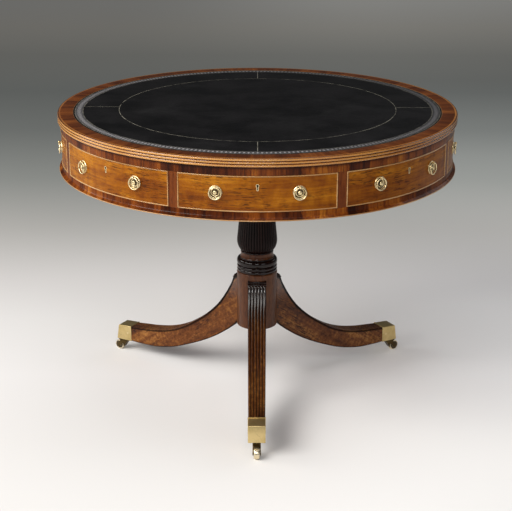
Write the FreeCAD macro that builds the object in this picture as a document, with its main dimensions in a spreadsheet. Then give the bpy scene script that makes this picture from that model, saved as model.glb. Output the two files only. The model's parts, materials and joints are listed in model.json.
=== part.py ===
import FreeCAD, Part
import Sketcher
import math
import os

os.makedirs("parts", exist_ok=True)
doc = FreeCAD.newDocument("DrumTable")
sheet = doc.addObject("Spreadsheet::Sheet", "Sizes")

# Driving sizes in millimetres, angles in degrees. The table stands on the floor at z = 0,
# its front faces -Y and the origin is on the floor under the column.
sizes = {
    "tableHeight": 750.0,
    "topRadius": 496.9,
    "topThick": 20.0,
    "leatherThick": 1.2,
    "leatherRadius": 458.1,
    "bandingRadius": 490.0,
    "reedingDepth": 2.6,
    "drumRadius": 490.2,
    "upperRailHigh": 20.2,
    "openingHigh": 82.7,
    "lowerRailHigh": 19.5,
    "beadHigh": 6.5,
    "beadProud": 7.4,
    "panelHalfAngle": 21.25,
    "stileDeep": 28.2,
    "frontThick": 22.0,
    "frontSetBack": 0.7,
    "frontGap": 0.4,
    "cockbeadProud": 1.5,
    "cockbeadWide": 2.6,
    "cockbeadDeep": 8.0,
    "runningGap": 0.4,
    "guideThick": 10.0,
    "drawerDeep": 303.0,
    "drawerSideThick": 9.0,
    "drawerSideHigh": 70.0,
    "drawerBottomThick": 6.0,
    "drawerBottomRise": 5.0,
    "grooveDeep": 4.0,
    "stopLong": 20.0,
    "stopWide": 40.0,
    "stopPlace": 80.0,
    "handleAngle": 10.9,
    "handleRise": 43.7,
    "ringRadius": 13.6,
    "ringWire": 1.45,
    "ringStandOff": 6.2,
    "ringDrop": 1.5,
    "lugThick": 3.4,
    "lugWall": 1.7,
    "rosetteRadius": 15.5,
    "rosetteThick": 2.2,
    "rosetteStepRadius": 9.5,
    "rosetteStepThick": 1.4,
    "knobRadius": 4.8,
    "knobThick": 4.2,
    "postRadius": 2.4,
    "nutRadius": 5.2,
    "nutThick": 3.0,
    "keyholeRise": 60.4,
    "keyholeRadius": 2.6,
    "keyholeDrop": 9.5,
    "keyholeSlot": 2.2,
    "escutcheonWall": 1.2,
    "lockWide": 52.0,
    "lockHigh": 34.0,
    "lockThick": 9.0,
    "lockBoltWide": 16.0,
    "lockBoltThick": 4.0,
    "spindleRadius": 12.0,
    "spindleFit": 0.06,
    "spindleSocket": 110.0,
    "spindleNutHigh": 12.0,
    "spindleNutRadius": 21.0,
    "bushWall": 5.0,
    "bushFlangeThick": 2.0,
    "bushFlangeWide": 12.0,
    "bearerThick": 29.0,
    "bearerRadius": 140.0,
    "tenonRadius": 24.0,
    "columnRadius": 52.5,
    "columnFoot": 169.0,
    "reedDepthTop": 1.7,
    "socketDeep": 14.0,
    "socketNeck": 15.0,
    "socketTail": 22.0,
    "legTop": 306.0,
    "legReach": 393.0,
    "legWideTop": 47.6,
    "legWideToe": 42.0,
    "legReedDepth": 2.4,
    "plateThick": 3.0,
    "plateRadius": 43.0,
    "plateScrewPlace": 30.0,
    "capLong": 48.0,
    "capLean": 6.0,
    "capHigh": 44.0,
    "capFoot": 39.0,
    "capFall": 2.5,
    "capWall": 1.6,
    "capScrewRadius": 2.4,
    "capScrewLong": 11.0,
    "capScrewProud": 0.4,
    "castorPlace": 425.0,
    "castorTrail": 20.0,
    "wheelRadius": 14.0,
    "wheelWide": 13.4,
    "axleRadius": 2.6,
    "axleFit": 0.06,
    "wheelGap": 0.6,
    "cheekThick": 2.6,
    "stemRadius": 4.2,
    "stemFit": 0.08,
    "stemLong": 22.0,
    "collarRadius": 10.0,
    "collarThick": 4.0,
    "collarGap": 0.5,
    "crownThick": 3.6,
    "overrun": 5.0,
}

# Outline shares, chosen by hand. Heights are shares of the column above its foot,
# radii are shares of the column's radius.
blockShare = 0.345
turnedShares = [
    (0.0, 1.0), (blockShare, 1.0), (0.352, 0.950), (0.360, 0.995), (0.372, 0.995), (0.380, 0.950),
    (0.388, 0.995), (0.399, 0.995), (0.407, 0.945), (0.418, 0.995), (0.436, 0.995),
    (0.446, 0.920), (0.460, 0.815), (0.474, 0.775), (0.500, 0.765),
]
collarShares = [
    (0.914, 0.690), (0.922, 0.745), (0.930, 0.800), (0.942, 0.800), (0.952, 0.735),
    (0.968, 0.775), (0.982, 0.945), (1.0, 0.945),
]
vaseShares = [
    (0.486, 0.790), (0.502, 0.825), (0.525, 0.920), (0.547, 0.982), (0.569, 0.986),
    (0.652, 0.928), (0.770, 0.855), (0.926, 0.725),
]
vaseReeds = 44

# Each row is one station along a leg: the top edge's place and height, then the underside's,
# as shares of the leg's reach and of its top's height.
legShares = [
    (0.095, 1.015, 0.095, 0.575), (0.137, 0.990, 0.119, 0.551), (0.166, 0.905, 0.143, 0.519),
    (0.214, 0.794, 0.178, 0.480), (0.275, 0.683, 0.224, 0.436), (0.359, 0.575, 0.293, 0.376),
    (0.458, 0.477, 0.384, 0.310), (0.573, 0.384, 0.504, 0.239), (0.692, 0.324, 0.641, 0.172),
    (0.819, 0.291, 0.794, 0.132), (0.930, 0.278, 0.920, 0.126), (1.0, 0.2712, 1.0, 0.1275),
]
legReeds = 6
reedFacetShares = [(0.0, 0.0), (0.26, 0.86), (0.74, 0.86)]
edgeFacetShares = [(0.0, 0.0), (0.5, 1.0)]
edgeReeds = 3
ringSides = 12
wireSides = 6
rosetteSides = 16
screwSides = 8
wheelSides = 36

for row, (name, value) in enumerate(sizes.items(), start=1):
    sheet.set(f"A{row}", name)
    sheet.set(f"B{row}", str(value))
    sheet.setAlias(f"B{row}", name)
doc.recompute()


class Size:
    """A number together with the expression that ties it to the sheet."""

    def __init__(self, value, text):
        self.value = value
        self.text = text

    def __add__(self, other):
        other = sized(other)
        return Size(self.value + other.value, f"({self.text} + {other.text})")

    def __sub__(self, other):
        other = sized(other)
        return Size(self.value - other.value, f"({self.text} - {other.text})")

    def __mul__(self, other):
        other = sized(other)
        return Size(self.value * other.value, f"({self.text} * {other.text})")

    def __truediv__(self, other):
        other = sized(other)
        return Size(self.value / other.value, f"({self.text} / {other.text})")

    def __neg__(self):
        return Size(-self.value, f"(0 - {self.text})")

    def __rmul__(self, other):
        return sized(other) * self


def sized(number):
    if isinstance(number, Size):
        return number
    return Size(float(number), f"{float(number):.10g}")


def root(size):
    return Size(math.sqrt(size.value), f"sqrt({size.text})")


def chord(radius, across):
    """How far out a line at the given offset meets a circle about the axis."""
    return root(radius * radius - across * across)


class Sheet:
    def __getattr__(self, name):
        return Size(getattr(sheet, name), f"Sizes.{name}")


s = Sheet()
nought = sized(0)

# Levels and radii that follow from the driving sizes
topUnder = s.tableHeight - s.topThick
openingTop = topUnder - s.upperRailHigh
openingFoot = openingTop - s.openingHigh
drumFoot = openingFoot - s.lowerRailHigh
columnTop = drumFoot - s.bearerThick
columnTall = columnTop - s.columnFoot
frontFace = s.drumRadius - s.frontSetBack
frontBack = frontFace - s.frontThick
stileBack = s.drumRadius - s.stileDeep
frontFoot = openingFoot + s.frontGap
frontTop = openingTop - s.frontGap
beadFace = frontFace + s.cockbeadProud
gapAngle = s.frontGap / s.drumRadius * math.degrees(1.0)
frontHalfAngle = s.panelHalfAngle - gapAngle
openingHalf = Size(
    stileBack.value * math.sin(math.radians(sizes["panelHalfAngle"])),
    f"({stileBack.text} * sin(Sizes.panelHalfAngle))",
)
guideIn = openingHalf - s.runningGap
boxHalf = guideIn - s.runningGap
drawerBack = s.drumRadius - s.drawerDeep
sideFoot = openingFoot + s.runningGap
bottomFoot = openingFoot + s.drawerBottomRise
handleHeight = openingFoot + s.handleRise
ringHeight = handleHeight - s.ringDrop
hingeHeight = ringHeight + s.ringRadius * math.cos(math.pi / ringSides)
keyholeHeight = openingFoot + s.keyholeRise


def bind(item, name, size):
    size = sized(size)
    item.setExpression(name, size.text)


def place(item, x, y, z):
    bind(item, "Placement.Base.x", x)
    bind(item, "Placement.Base.y", y)
    bind(item, "Placement.Base.z", z)


def turn(item, angle):
    """Turns a finished piece about the table's axis."""
    item.Placement = FreeCAD.Placement(
        FreeCAD.Vector(), FreeCAD.Rotation(FreeCAD.Vector(0, 0, 1), angle)
    )
    return item


def block(x0, x1, y0, y1, z0, z1):
    item = doc.addObject("Part::Box", "Block")
    bind(item, "Length", x1 - x0)
    bind(item, "Width", y1 - y0)
    bind(item, "Height", z1 - z0)
    place(item, x0, y0, z0)
    return item


def bar(radius, long, sides):
    """A round bar, or one with flat sides for a small piece that comes many times."""
    if sides:
        item = doc.addObject("Part::Prism", "Bar")
        item.Polygon = sides
        bind(item, "Circumradius", radius)
    else:
        item = doc.addObject("Part::Cylinder", "Bar")
        bind(item, "Radius", radius)
    bind(item, "Height", long)
    return item


def upright(radius, z0, z1, x=nought, y=nought, sides=0):
    item = bar(radius, z1 - z0, sides)
    place(item, x, y, z0)
    return item


def outward(radius, y0, y1, x, z, sides=0):
    """A bar along Y from y0 to y1, at the given x and height."""
    item = bar(radius, y1 - y0, sides)
    item.Placement.Rotation = FreeCAD.Rotation(FreeCAD.Vector(1, 0, 0), -90)
    place(item, x, y0, z)
    return item


def sideways(radius, x0, x1, y, z, sides=0):
    """A bar along X from x0 to x1."""
    item = bar(radius, x1 - x0, sides)
    item.Placement.Rotation = FreeCAD.Rotation(FreeCAD.Vector(0, 1, 0), 90)
    place(item, x0, y, z)
    return item


def cut(base, tool, label="Cut"):
    item = doc.addObject("Part::Cut", label)
    item.Base = base
    item.Tool = tool
    return item


def common(base, tool):
    item = doc.addObject("Part::Common", "Common")
    item.Base = base
    item.Tool = tool
    return item


def fuse(pieces, label="Fuse"):
    item = doc.addObject("Part::MultiFuse", label)
    item.Shapes = pieces
    return item


def group(pieces, label="Group"):
    """Separate solids kept together in one piece."""
    item = doc.addObject("Part::Compound", label)
    item.Links = pieces
    return item


def cuts(base, tools):
    return cut(base, group(tools, "Tools"))


def sector(inner, outer, z0, z1, halfAngle, middle=nought):
    """A curved bar about the axis, its middle turned from the front by an angle."""
    full = upright(outer, z0, z1)
    bind(full, "Angle", halfAngle * 2)
    full.Placement.Rotation = FreeCAD.Rotation(FreeCAD.Vector(0, 0, 1), -90)
    bind(full, "Placement.Rotation.Angle", middle - halfAngle - 90)
    return cut(full, upright(inner, z0 - s.overrun, z1 + s.overrun))


def originPlane(body, role):
    return [item for item in body.Origin.OriginFeatures if item.Role == role][0]


def drawn(corners, role="XZ_Plane"):
    """A body with one closed sketch whose corners are tied to the sheet."""
    body = doc.addObject("PartDesign::Body", "Body")
    sketch = body.newObject("Sketcher::SketchObject", "Outline")
    sketch.AttachmentSupport = (originPlane(body, role), [""])
    sketch.MapMode = "FlatFace"
    corners = [(sized(x), sized(y)) for x, y in corners]
    count = len(corners)
    spots = [FreeCAD.Vector(x.value, y.value, 0) for x, y in corners]
    for index in range(count):
        sketch.addGeometry(Part.LineSegment(spots[index], spots[(index + 1) % count]))
    for index in range(count):
        following = (index + 1) % count
        sketch.addConstraint(Sketcher.Constraint("Coincident", index, 2, following, 1))
    for index, (x, y) in enumerate(corners):
        for kind, size in (("DistanceX", x), ("DistanceY", y)):
            rule = Sketcher.Constraint(kind, -1, 1, index, 1, size.value)
            number = sketch.addConstraint(rule)
            sketch.setExpression(f"Constraints[{number}]", size.text)
    return body, sketch


def turned(corners):
    """A piece turned about the upright axis from (radius, height) corners."""
    body, sketch = drawn(corners)
    lathe = body.newObject("PartDesign::Revolution", "Turning")
    lathe.Profile = sketch
    lathe.ReferenceAxis = (sketch, ["V_Axis"])
    lathe.Angle = 360
    return body


def slab(corners, wide):
    """A flat piece in the XZ plane, the same width each side of it."""
    body, sketch = drawn(corners)
    pad = body.newObject("PartDesign::Pad", "Width")
    pad.Profile = sketch
    pad.SideType = "Symmetric"
    bind(pad, "Length", wide)
    return body


nodes = []


def node(item, label, angle=None):
    item.Label = label
    if angle is not None:
        turn(item, angle)
    nodes.append(item)
    return item


# Column: one turned shaft with a reeded vase, a ringed neck and a round block for the legs
def columnHeight(share):
    return s.columnFoot + columnTall * share


def lobedWire(height, radius, depth, count):
    """A closed ring of reeds, each one a few flats that bulge from the valley radius."""
    spots = []
    for reed in range(count):
        for along, rise in reedFacetShares:
            angle = 2 * math.pi * (reed + along) / count
            reach = radius - depth * (1 - rise)
            spots.append(FreeCAD.Vector(reach * math.cos(angle), reach * math.sin(angle), height))
    return Part.makePolygon(spots + spots[:1])


def reededVase():
    wires = []
    for heightShare, radiusShare in vaseShares:
        radius = s.columnRadius.value * radiusShare
        depth = s.reedDepthTop.value * radiusShare
        wires.append(lobedWire(columnHeight(heightShare).value, radius, depth, vaseReeds))
    item = doc.addObject("Part::Feature", "ReededVase")
    item.Shape = Part.makeLoft(wires, True, True)
    return item


def socket(angle, extra):
    """The dovetail of a leg, standing in the column's block."""
    tall = columnHeight(sized(blockShare))
    near = s.columnRadius - s.socketDeep
    body, sketch = drawn(
        [
            (near, -s.socketTail / 2),
            (s.columnRadius + extra, -s.socketNeck / 2),
            (s.columnRadius + extra, s.socketNeck / 2),
            (near, s.socketTail / 2),
        ],
        "XY_Plane",
    )
    bind(sketch, "AttachmentOffset.Base.z", s.columnFoot - s.overrun)
    pad = body.newObject("PartDesign::Pad", "Tall")
    pad.Profile = sketch
    bind(pad, "Length", tall - s.columnFoot - s.socketNeck + s.overrun)
    return turn(body, angle)


legAngles = {"front": -90, "back_right": 30, "back_left": 150}


def makeColumn():
    def corner(shares):
        return (s.columnRadius * shares[1], columnHeight(sized(shares[0])))

    foot = [(nought, s.columnFoot)] + [corner(row) for row in turnedShares]
    foot.append((nought, columnHeight(sized(turnedShares[-1][0]))))
    head = [(nought, columnHeight(sized(collarShares[0][0])))]
    head += [corner(row) for row in collarShares]
    tenonTop = drumFoot - s.bearerThick / 4
    head += [(s.tenonRadius, columnTop), (s.tenonRadius, tenonTop), (nought, tenonTop)]
    shaft = fuse([turned(foot), turned(head), reededVase()])
    tools = [socket(angle, s.overrun) for angle in legAngles.values()]
    tools.append(upright(s.spindleRadius, columnTop - s.spindleSocket, s.tableHeight))
    for angle in legAngles.values():
        tools.append(plateScrew(angle))
    return node(cuts(shaft, tools), "column")


def plateScrew(angle):
    """One of the screws that hold the iron plate under the block, between two legs."""
    reach = s.plateScrewPlace
    side = math.radians(angle + 60)
    return upright(
        s.postRadius,
        s.columnFoot - s.plateThick,
        s.columnFoot + s.capScrewLong * 2,
        reach * math.cos(side),
        reach * math.sin(side),
        screwSides,
    )


# Legs: sabre-shaped, reeded along the top edge, each with a dovetail into the column's block
def legStation(row):
    outTop, highTop, outUnder, highUnder = row
    reach, top = s.legReach.value, s.legTop.value
    crest = FreeCAD.Vector(outTop * reach, 0, highTop * top)
    under = FreeCAD.Vector(outUnder * reach, 0, highUnder * top)
    up = (crest - under).normalize()
    share = (outTop - legShares[0][0]) / (legShares[-1][0] - legShares[0][0])
    wide = s.legWideTop.value + (s.legWideToe.value - s.legWideTop.value) * share
    depth = s.legReedDepth.value
    across = FreeCAD.Vector(0, 1, 0)
    valley = crest - up * depth
    spots = []
    for reed in range(legReeds):
        for along, rise in reedFacetShares:
            offset = wide * ((reed + along) / legReeds - 0.5)
            spots.append(valley + across * offset + up * (depth * rise))
    spots.append(valley + across * (wide / 2))
    spots += [under + across * (wide / 2), under - across * (wide / 2)]
    return Part.makePolygon(spots + spots[:1])


def toe(wall, extra):
    """The outline of the brass cap, or of the wood in it when a wall is taken off."""
    capIn = s.legReach
    capOut = s.legReach + s.capLong
    top = s.capFoot + s.capHigh - wall
    return [
        (capIn - extra, s.capFoot + wall),
        (capOut - wall, s.capFoot + wall),
        (capOut - s.capLean - wall, top - s.capFall),
        (capIn - extra, top),
    ]


def capScrew(side):
    half = s.legWideToe / 2
    out = half + s.capScrewProud
    inner = half - s.capScrewLong
    where = s.legReach + s.capLong / 4
    middle = s.capFoot + s.capHigh / 2
    if side > 0:
        return outward(s.capScrewRadius, inner, out, where, middle, screwSides)
    return outward(s.capScrewRadius, -out, -inner, where, middle, screwSides)


def castorBore(extra):
    """The bore for a castor's stem, through the cap into the wood of the toe."""
    foot = s.capFoot - s.overrun
    top = s.capFoot - s.collarGap + s.stemLong
    return upright(s.stemRadius + extra, foot, top + extra, s.castorPlace)


def makeLeg(name, angle):
    sweep = doc.addObject("Part::Feature", "LegSweep")
    sweep.Shape = Part.makeLoft([legStation(row) for row in legShares], True, True)
    scribed = cut(sweep, upright(s.columnRadius, nought, s.tableHeight))
    tongue = common(
        socket(0, s.overrun), upright(s.columnRadius + s.capWall, s.columnFoot, s.tableHeight)
    )
    wood = slab(toe(s.capWall, s.socketDeep), s.legWideToe - s.capWall * 2)
    body = fuse([scribed, tongue, wood])
    tools = [castorBore(s.stemFit), capScrew(1), capScrew(-1)]
    return node(cuts(body, tools), f"leg_{name}", angle)


def makeCaps():
    caps = []
    screws = []
    for angle in legAngles.values():
        wood = slab(toe(s.capWall, s.overrun), s.legWideToe - s.capWall * 2)
        shell = cut(slab(toe(nought, nought), s.legWideToe), wood)
        caps.append(turn(cuts(shell, [castorBore(s.stemFit), capScrew(1), capScrew(-1)]), angle))
        screws.append(turn(group([capScrew(1), capScrew(-1)]), angle))
    node(group(caps), "toe_caps")
    node(group(screws), "toe_cap_screws")


# Castors: a forked horn that turns in the toe, and a wheel on its axle
wheelHalf = s.wheelWide / 2
axleX = s.castorPlace + s.castorTrail
collarTop = s.capFoot - s.collarGap
crownTop = collarTop - s.collarThick
crownFoot = crownTop - s.crownThick


def makeCastor(name, angle):
    stem = upright(s.stemRadius, crownTop, collarTop + s.stemLong, s.castorPlace)
    collar = upright(s.collarRadius, crownTop, collarTop, s.castorPlace)
    cheekOut = wheelHalf + s.wheelGap + s.cheekThick
    crownIn = s.castorPlace - s.collarRadius
    crownOut = s.castorPlace + s.collarRadius
    crown = slab(
        [(crownIn, crownFoot), (crownOut, crownFoot), (crownOut, crownTop), (crownIn, crownTop)],
        cheekOut * 2,
    )
    eye = s.axleRadius * 2
    horn = slab(
        [
            (crownIn, crownTop), (crownOut, crownTop),
            (axleX + eye, s.wheelRadius + s.axleRadius), (axleX + eye, s.wheelRadius - s.axleRadius),
            (axleX + s.axleRadius, s.wheelRadius - eye), (axleX - s.axleRadius, s.wheelRadius - eye),
            (crownIn + s.axleRadius, crownFoot - s.axleRadius), (crownIn, crownFoot),
        ],
        cheekOut * 2,
    )
    room = block(
        crownIn - s.overrun, axleX + s.wheelRadius + s.overrun,
        -wheelHalf - s.wheelGap, wheelHalf + s.wheelGap, nought, crownFoot,
    )
    axle = outward(s.axleRadius, -cheekOut, cheekOut, axleX, s.wheelRadius)
    fork = fuse([cut(horn, room), crown, collar, stem, axle])
    node(fork, f"castor_{name}_fork", angle)
    bore = s.axleRadius + s.axleFit
    tread = outward(s.wheelRadius, -wheelHalf, wheelHalf, axleX, s.wheelRadius, wheelSides)
    hub = outward(bore, -cheekOut, cheekOut, axleX, s.wheelRadius)
    node(cut(tread, hub), f"castor_{name}_wheel", angle)


# Bearer, spindle and bush: what the drum turns on
def makeSwivel():
    plate = upright(s.plateRadius, s.columnFoot - s.plateThick, s.columnFoot)
    holes = [plateScrew(angle) for angle in legAngles.values()]
    node(cuts(plate, holes), "column_plate")
    node(group([plateScrew(angle) for angle in legAngles.values()]), "column_plate_screws")
    ease = s.bearerThick / 3
    tenonTop = drumFoot - s.bearerThick / 4
    node(
        turned(
            [
                (s.tenonRadius, columnTop), (s.bearerRadius - ease, columnTop),
                (s.bearerRadius, columnTop + ease), (s.bearerRadius, drumFoot),
                (s.spindleRadius, drumFoot), (s.spindleRadius, tenonTop), (s.tenonRadius, tenonTop),
            ]
        ),
        "bearer",
    )
    bushTop = openingFoot + s.bushFlangeThick
    nutFoot = bushTop + s.runningGap
    nutTop = nutFoot + s.spindleNutHigh
    spindle = upright(s.spindleRadius, columnTop - s.spindleSocket, nutTop + s.bushFlangeThick)
    node(spindle, "spindle")
    nut = doc.addObject("Part::Prism", "Nut")
    nut.Polygon = 6
    bind(nut, "Circumradius", s.spindleNutRadius)
    bind(nut, "Height", s.spindleNutHigh)
    bind(nut, "Placement.Base.z", nutFoot)
    node(cut(nut, upright(s.spindleRadius, nutFoot - s.overrun, nutTop + s.overrun)), "spindle_nut")
    bore = s.spindleRadius + s.spindleFit
    barrel = bore + s.bushWall
    flange = barrel + s.bushFlangeWide
    node(
        turned(
            [
                (bore, drumFoot), (barrel, drumFoot), (barrel, openingFoot),
                (flange, openingFoot), (flange, bushTop), (bore, bushTop),
            ]
        ),
        "spindle_bush",
    )


# Drum: top, rails, stiles, guides and the dummy fronts between the drawers
def makeTop():
    ground = s.tableHeight - s.leatherThick
    pitch = s.topThick / edgeReeds
    corners = [(nought, topUnder)]
    for reed in range(edgeReeds):
        for along, rise in edgeFacetShares:
            reach = s.topRadius - s.reedingDepth * (1 - rise)
            corners.append((reach, topUnder + pitch * (reed + along)))
    corners += [
        (s.topRadius - s.reedingDepth, s.tableHeight), (s.bandingRadius, s.tableHeight),
        (s.bandingRadius, ground), (nought, ground),
    ]
    node(turned(corners), "top_board")
    node(upright(s.leatherRadius, ground, s.tableHeight), "leather_top")
    band = cut(
        upright(s.bandingRadius, ground, s.tableHeight),
        upright(s.leatherRadius, ground - s.overrun, s.tableHeight + s.overrun),
    )
    node(band, "top_crossbanding")


def makeDrum():
    node(upright(s.drumRadius, openingTop, topUnder), "carcase_top")
    barrel = s.spindleRadius + s.spindleFit + s.bushWall
    board = upright(s.drumRadius, drumFoot, openingFoot)
    node(cut(board, upright(barrel, drumFoot - s.overrun, openingFoot + s.overrun)), "carcase_bottom")
    beadOut = s.drumRadius + s.beadProud
    ease = s.beadHigh / 4
    node(
        turned(
            [
                (s.drumRadius, drumFoot), (beadOut - ease, drumFoot), (beadOut, drumFoot + ease),
                (beadOut, drumFoot + s.beadHigh - ease), (beadOut - ease, drumFoot + s.beadHigh),
                (s.drumRadius, drumFoot + s.beadHigh),
            ]
        ),
        "base_bead",
    )
    stileHalf = sized(22.5) - s.panelHalfAngle
    stiles = []
    for index in range(8):
        middle = sized(45 * index + 22.5)
        stiles.append(sector(stileBack, s.drumRadius, openingFoot, openingTop, stileHalf, middle))
    node(group(stiles), "stiles")
    guides = []
    for angle in (0, 90, 180, 270):
        for side in (1, -1):
            guides.append(turn(makeGuide(side), angle))
            guides.append(turn(group([makeStop(side)]), angle))
    node(group(guides), "drawer_guides")


def sided(side, x0, x1, y0, y1, z0, z1):
    if side > 0:
        return block(x0, x1, y0, y1, z0, z1)
    return block(-x1, -x0, y0, y1, z0, z1)


def makeGuide(side):
    """A board that a drawer's side runs along, from a stile to the drawer's back."""
    board = sided(
        side, guideIn, guideIn + s.guideThick, -s.drumRadius, -drawerBack, openingFoot, openingTop
    )
    return common(board, upright(stileBack, openingFoot, openingTop))


def makeStop(side):
    """A small block behind the front, under the drawer's bottom board."""
    outer = s.stopPlace + s.stopWide / 2
    face = chord(frontBack, outer) - s.runningGap
    return sided(
        side, outer - s.stopWide, outer, -face, s.stopLong - face,
        openingFoot, bottomFoot - s.runningGap,
    )


def cockbeads():
    """The four thin strips let in round a front, standing a little proud of it."""
    inner = frontFace - s.cockbeadDeep
    low = frontFoot + s.cockbeadWide
    high = frontTop - s.cockbeadWide
    strips = [
        sector(inner, beadFace, high, frontTop, frontHalfAngle),
        sector(inner, beadFace, frontFoot, low, frontHalfAngle),
    ]
    halfWide = s.cockbeadWide / s.drumRadius * math.degrees(1.0) / 2
    for side in (1, -1):
        strips.append(sector(inner, beadFace, low, high, halfWide, (frontHalfAngle - halfWide) * side))
    return strips


def turnedTo(item, degrees):
    """Turns a piece that was drawn at the front to its place along the panel."""
    item.Placement.Rotation = FreeCAD.Rotation(FreeCAD.Vector(0, 0, 1), 1)
    bind(item, "Placement.Rotation.Angle", sized(degrees))
    return item


def handleParts():
    """One backplate with its lug and threaded post, and the nut behind the front."""
    face = -frontFace

    def disc(radius, y0, y1, sides):
        return outward(radius, y0, y1, nought, handleHeight, sides)

    base = disc(s.rosetteRadius, face - s.rosetteThick, face, rosetteSides)
    stepOut = face - s.rosetteThick - s.rosetteStepThick
    step = disc(s.rosetteStepRadius, stepOut, face, rosetteSides)
    knob = disc(s.knobRadius, stepOut - s.knobThick, face, screwSides)
    lugOut = face - s.ringStandOff - s.ringWire - s.lugWall
    lugTop = hingeHeight + s.ringWire + s.lugWall
    lug = block(
        -s.lugThick / 2, s.lugThick / 2, lugOut, face,
        handleHeight + s.rosetteStepRadius - s.lugWall, lugTop,
    )
    across = (s.ringWire + s.axleFit) / math.cos(math.pi / screwSides)
    eye = sideways(across, -s.lugThick, s.lugThick, face - s.ringStandOff, hingeHeight, screwSides)
    post = disc(s.postRadius, face - s.rosetteThick, -frontBack + s.nutThick * 1.5, wireSides)
    plate = cut(fuse([base, step, knob, lug, post]), eye)
    seat = -chord(frontBack, s.nutRadius)
    nut = disc(s.nutRadius, seat, seat + s.nutThick, wireSides)
    return [plate, cut(nut, postHole())]


def postHole():
    inner = -frontBack + s.overrun
    return outward(s.postRadius, -s.drumRadius, inner, nought, handleHeight, wireSides)


def keyhole(wall, y0, y1):
    """The round of a keyhole and the slot under it, grown by a wall."""
    return fuse(
        [
            outward(s.keyholeRadius + wall, y0, y1, nought, keyholeHeight, screwSides),
            block(
                -s.keyholeSlot / 2 - wall, s.keyholeSlot / 2 + wall, y0, y1,
                keyholeHeight - s.keyholeDrop - wall, keyholeHeight,
            ),
        ]
    )


lockIn = -frontBack
lockOut = -frontBack - s.lockThick


lockTop = frontTop - s.cockbeadWide


def lockRoom():
    half = s.lockWide / 2
    return block(-half, half, lockOut, lockIn + s.overrun, lockTop - s.lockHigh, lockTop)


def lining():
    """The thin brass lining of a keyhole."""
    face = -frontFace
    inner = face + s.cockbeadDeep
    hole = keyhole(nought, face - s.overrun, inner + s.overrun)
    return cut(keyhole(s.escutcheonWall, face, inner), hole)


def lockParts():
    """The lock's case with its bolt drawn down, and the lining of the keyhole."""
    half = s.lockWide / 2
    top = lockTop
    case = block(-half, half, lockOut, lockIn, top - s.lockHigh, top)
    boltHalf = s.lockBoltWide / 2
    middle = (lockOut + lockIn) / 2
    boltIn = middle + s.lockBoltThick / 2
    boltOut = middle - s.lockBoltThick / 2
    boltTall = s.lockHigh / 2
    bolt = block(-boltHalf, boltHalf, boltOut, boltIn, top - boltTall, top)
    hollow = block(-boltHalf, boltHalf, boltOut, boltIn, top - boltTall, top + s.overrun)
    way = keyhole(nought, lockOut - s.overrun, boltOut)
    return [cuts(case, [hollow, way]), bolt, lining()]


def frontSolids(withLock):
    """A bowed front with its four cockbead strips and every hole that its brassware needs."""
    blank = sector(frontBack, frontFace, frontFoot, frontTop, frontHalfAngle)
    tools = cockbeads()
    for side in (1, -1):
        tools.append(turnedTo(group([postHole()]), s.handleAngle * side))
    tools.append(keyhole(s.escutcheonWall, -s.drumRadius, -frontFace + s.cockbeadDeep))
    if withLock:
        tools.append(keyhole(nought, -s.drumRadius, lockOut))
        tools.append(lockRoom())
    return [cuts(blank, tools)] + cockbeads()


def plates():
    return [turnedTo(group(handleParts()), s.handleAngle * side) for side in (1, -1)]


def drawerSide(side):
    top = sideFoot + s.drawerSideHigh
    board = sided(side, boxHalf - s.drawerSideThick, boxHalf, -s.drumRadius, -drawerBack, sideFoot, top)
    return cut(common(board, upright(frontBack, sideFoot, top)), bottomBoard())


def bottomBoard():
    half = boxHalf - s.drawerSideThick + s.grooveDeep
    top = bottomFoot + s.drawerBottomThick
    return common(
        block(-half, half, -s.drumRadius, -drawerBack, bottomFoot, top),
        upright(frontBack, bottomFoot, top),
    )


def drawerBox():
    back = block(
        s.drawerSideThick - boxHalf, boxHalf - s.drawerSideThick,
        -drawerBack - s.drawerSideThick, -drawerBack,
        bottomFoot + s.drawerBottomThick, sideFoot + s.drawerSideHigh,
    )
    return [drawerSide(1), drawerSide(-1), back]


def makeDrawer(name, angle):
    node(group(frontSolids(True)), f"drawer_{name}_front", angle)
    node(group(drawerBox()), f"drawer_{name}_box", angle)
    node(bottomBoard(), f"drawer_{name}_bottom", angle)
    node(group(plates() + lockParts()), f"drawer_{name}_brassware", angle)


def makeRing(label, angle, side):
    """A ring pull: its flat top side lies in the eye of the lug."""
    spine = doc.addObject("Part::RegularPolygon", "RingLine")
    spine.Polygon = ringSides
    bind(spine, "Circumradius", s.ringRadius)
    wire = doc.addObject("Part::RegularPolygon", "Wire")
    wire.Polygon = wireSides
    bind(wire, "Circumradius", s.ringWire)
    wire.Placement.Rotation = FreeCAD.Rotation(FreeCAD.Vector(1, 0, 0), 90)
    bind(wire, "Placement.Base.x", s.ringRadius)
    ring = doc.addObject("Part::Sweep", "Ring")
    ring.Sections = [wire]
    ring.Spine = (spine, [f"Edge{number + 1}" for number in range(ringSides)])
    ring.Solid = True
    ring.Frenet = False
    ring.Transition = "Right corner"
    stand = FreeCAD.Rotation(FreeCAD.Vector(1, 0, 0), 90)
    spin = FreeCAD.Rotation(FreeCAD.Vector(0, 0, 1), 180 / ringSides)
    ring.Placement.Rotation = stand * spin
    place(ring, nought, -frontFace - s.ringStandOff, ringHeight)
    node(group([turnedTo(group([ring]), s.handleAngle * side)]), label, angle)


drawerAngles = {"front": 0, "right": 90, "back": 180, "left": 270}
dummyAngles = {"front_right": 45, "back_right": 135, "back_left": 225, "front_left": 315}

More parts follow.
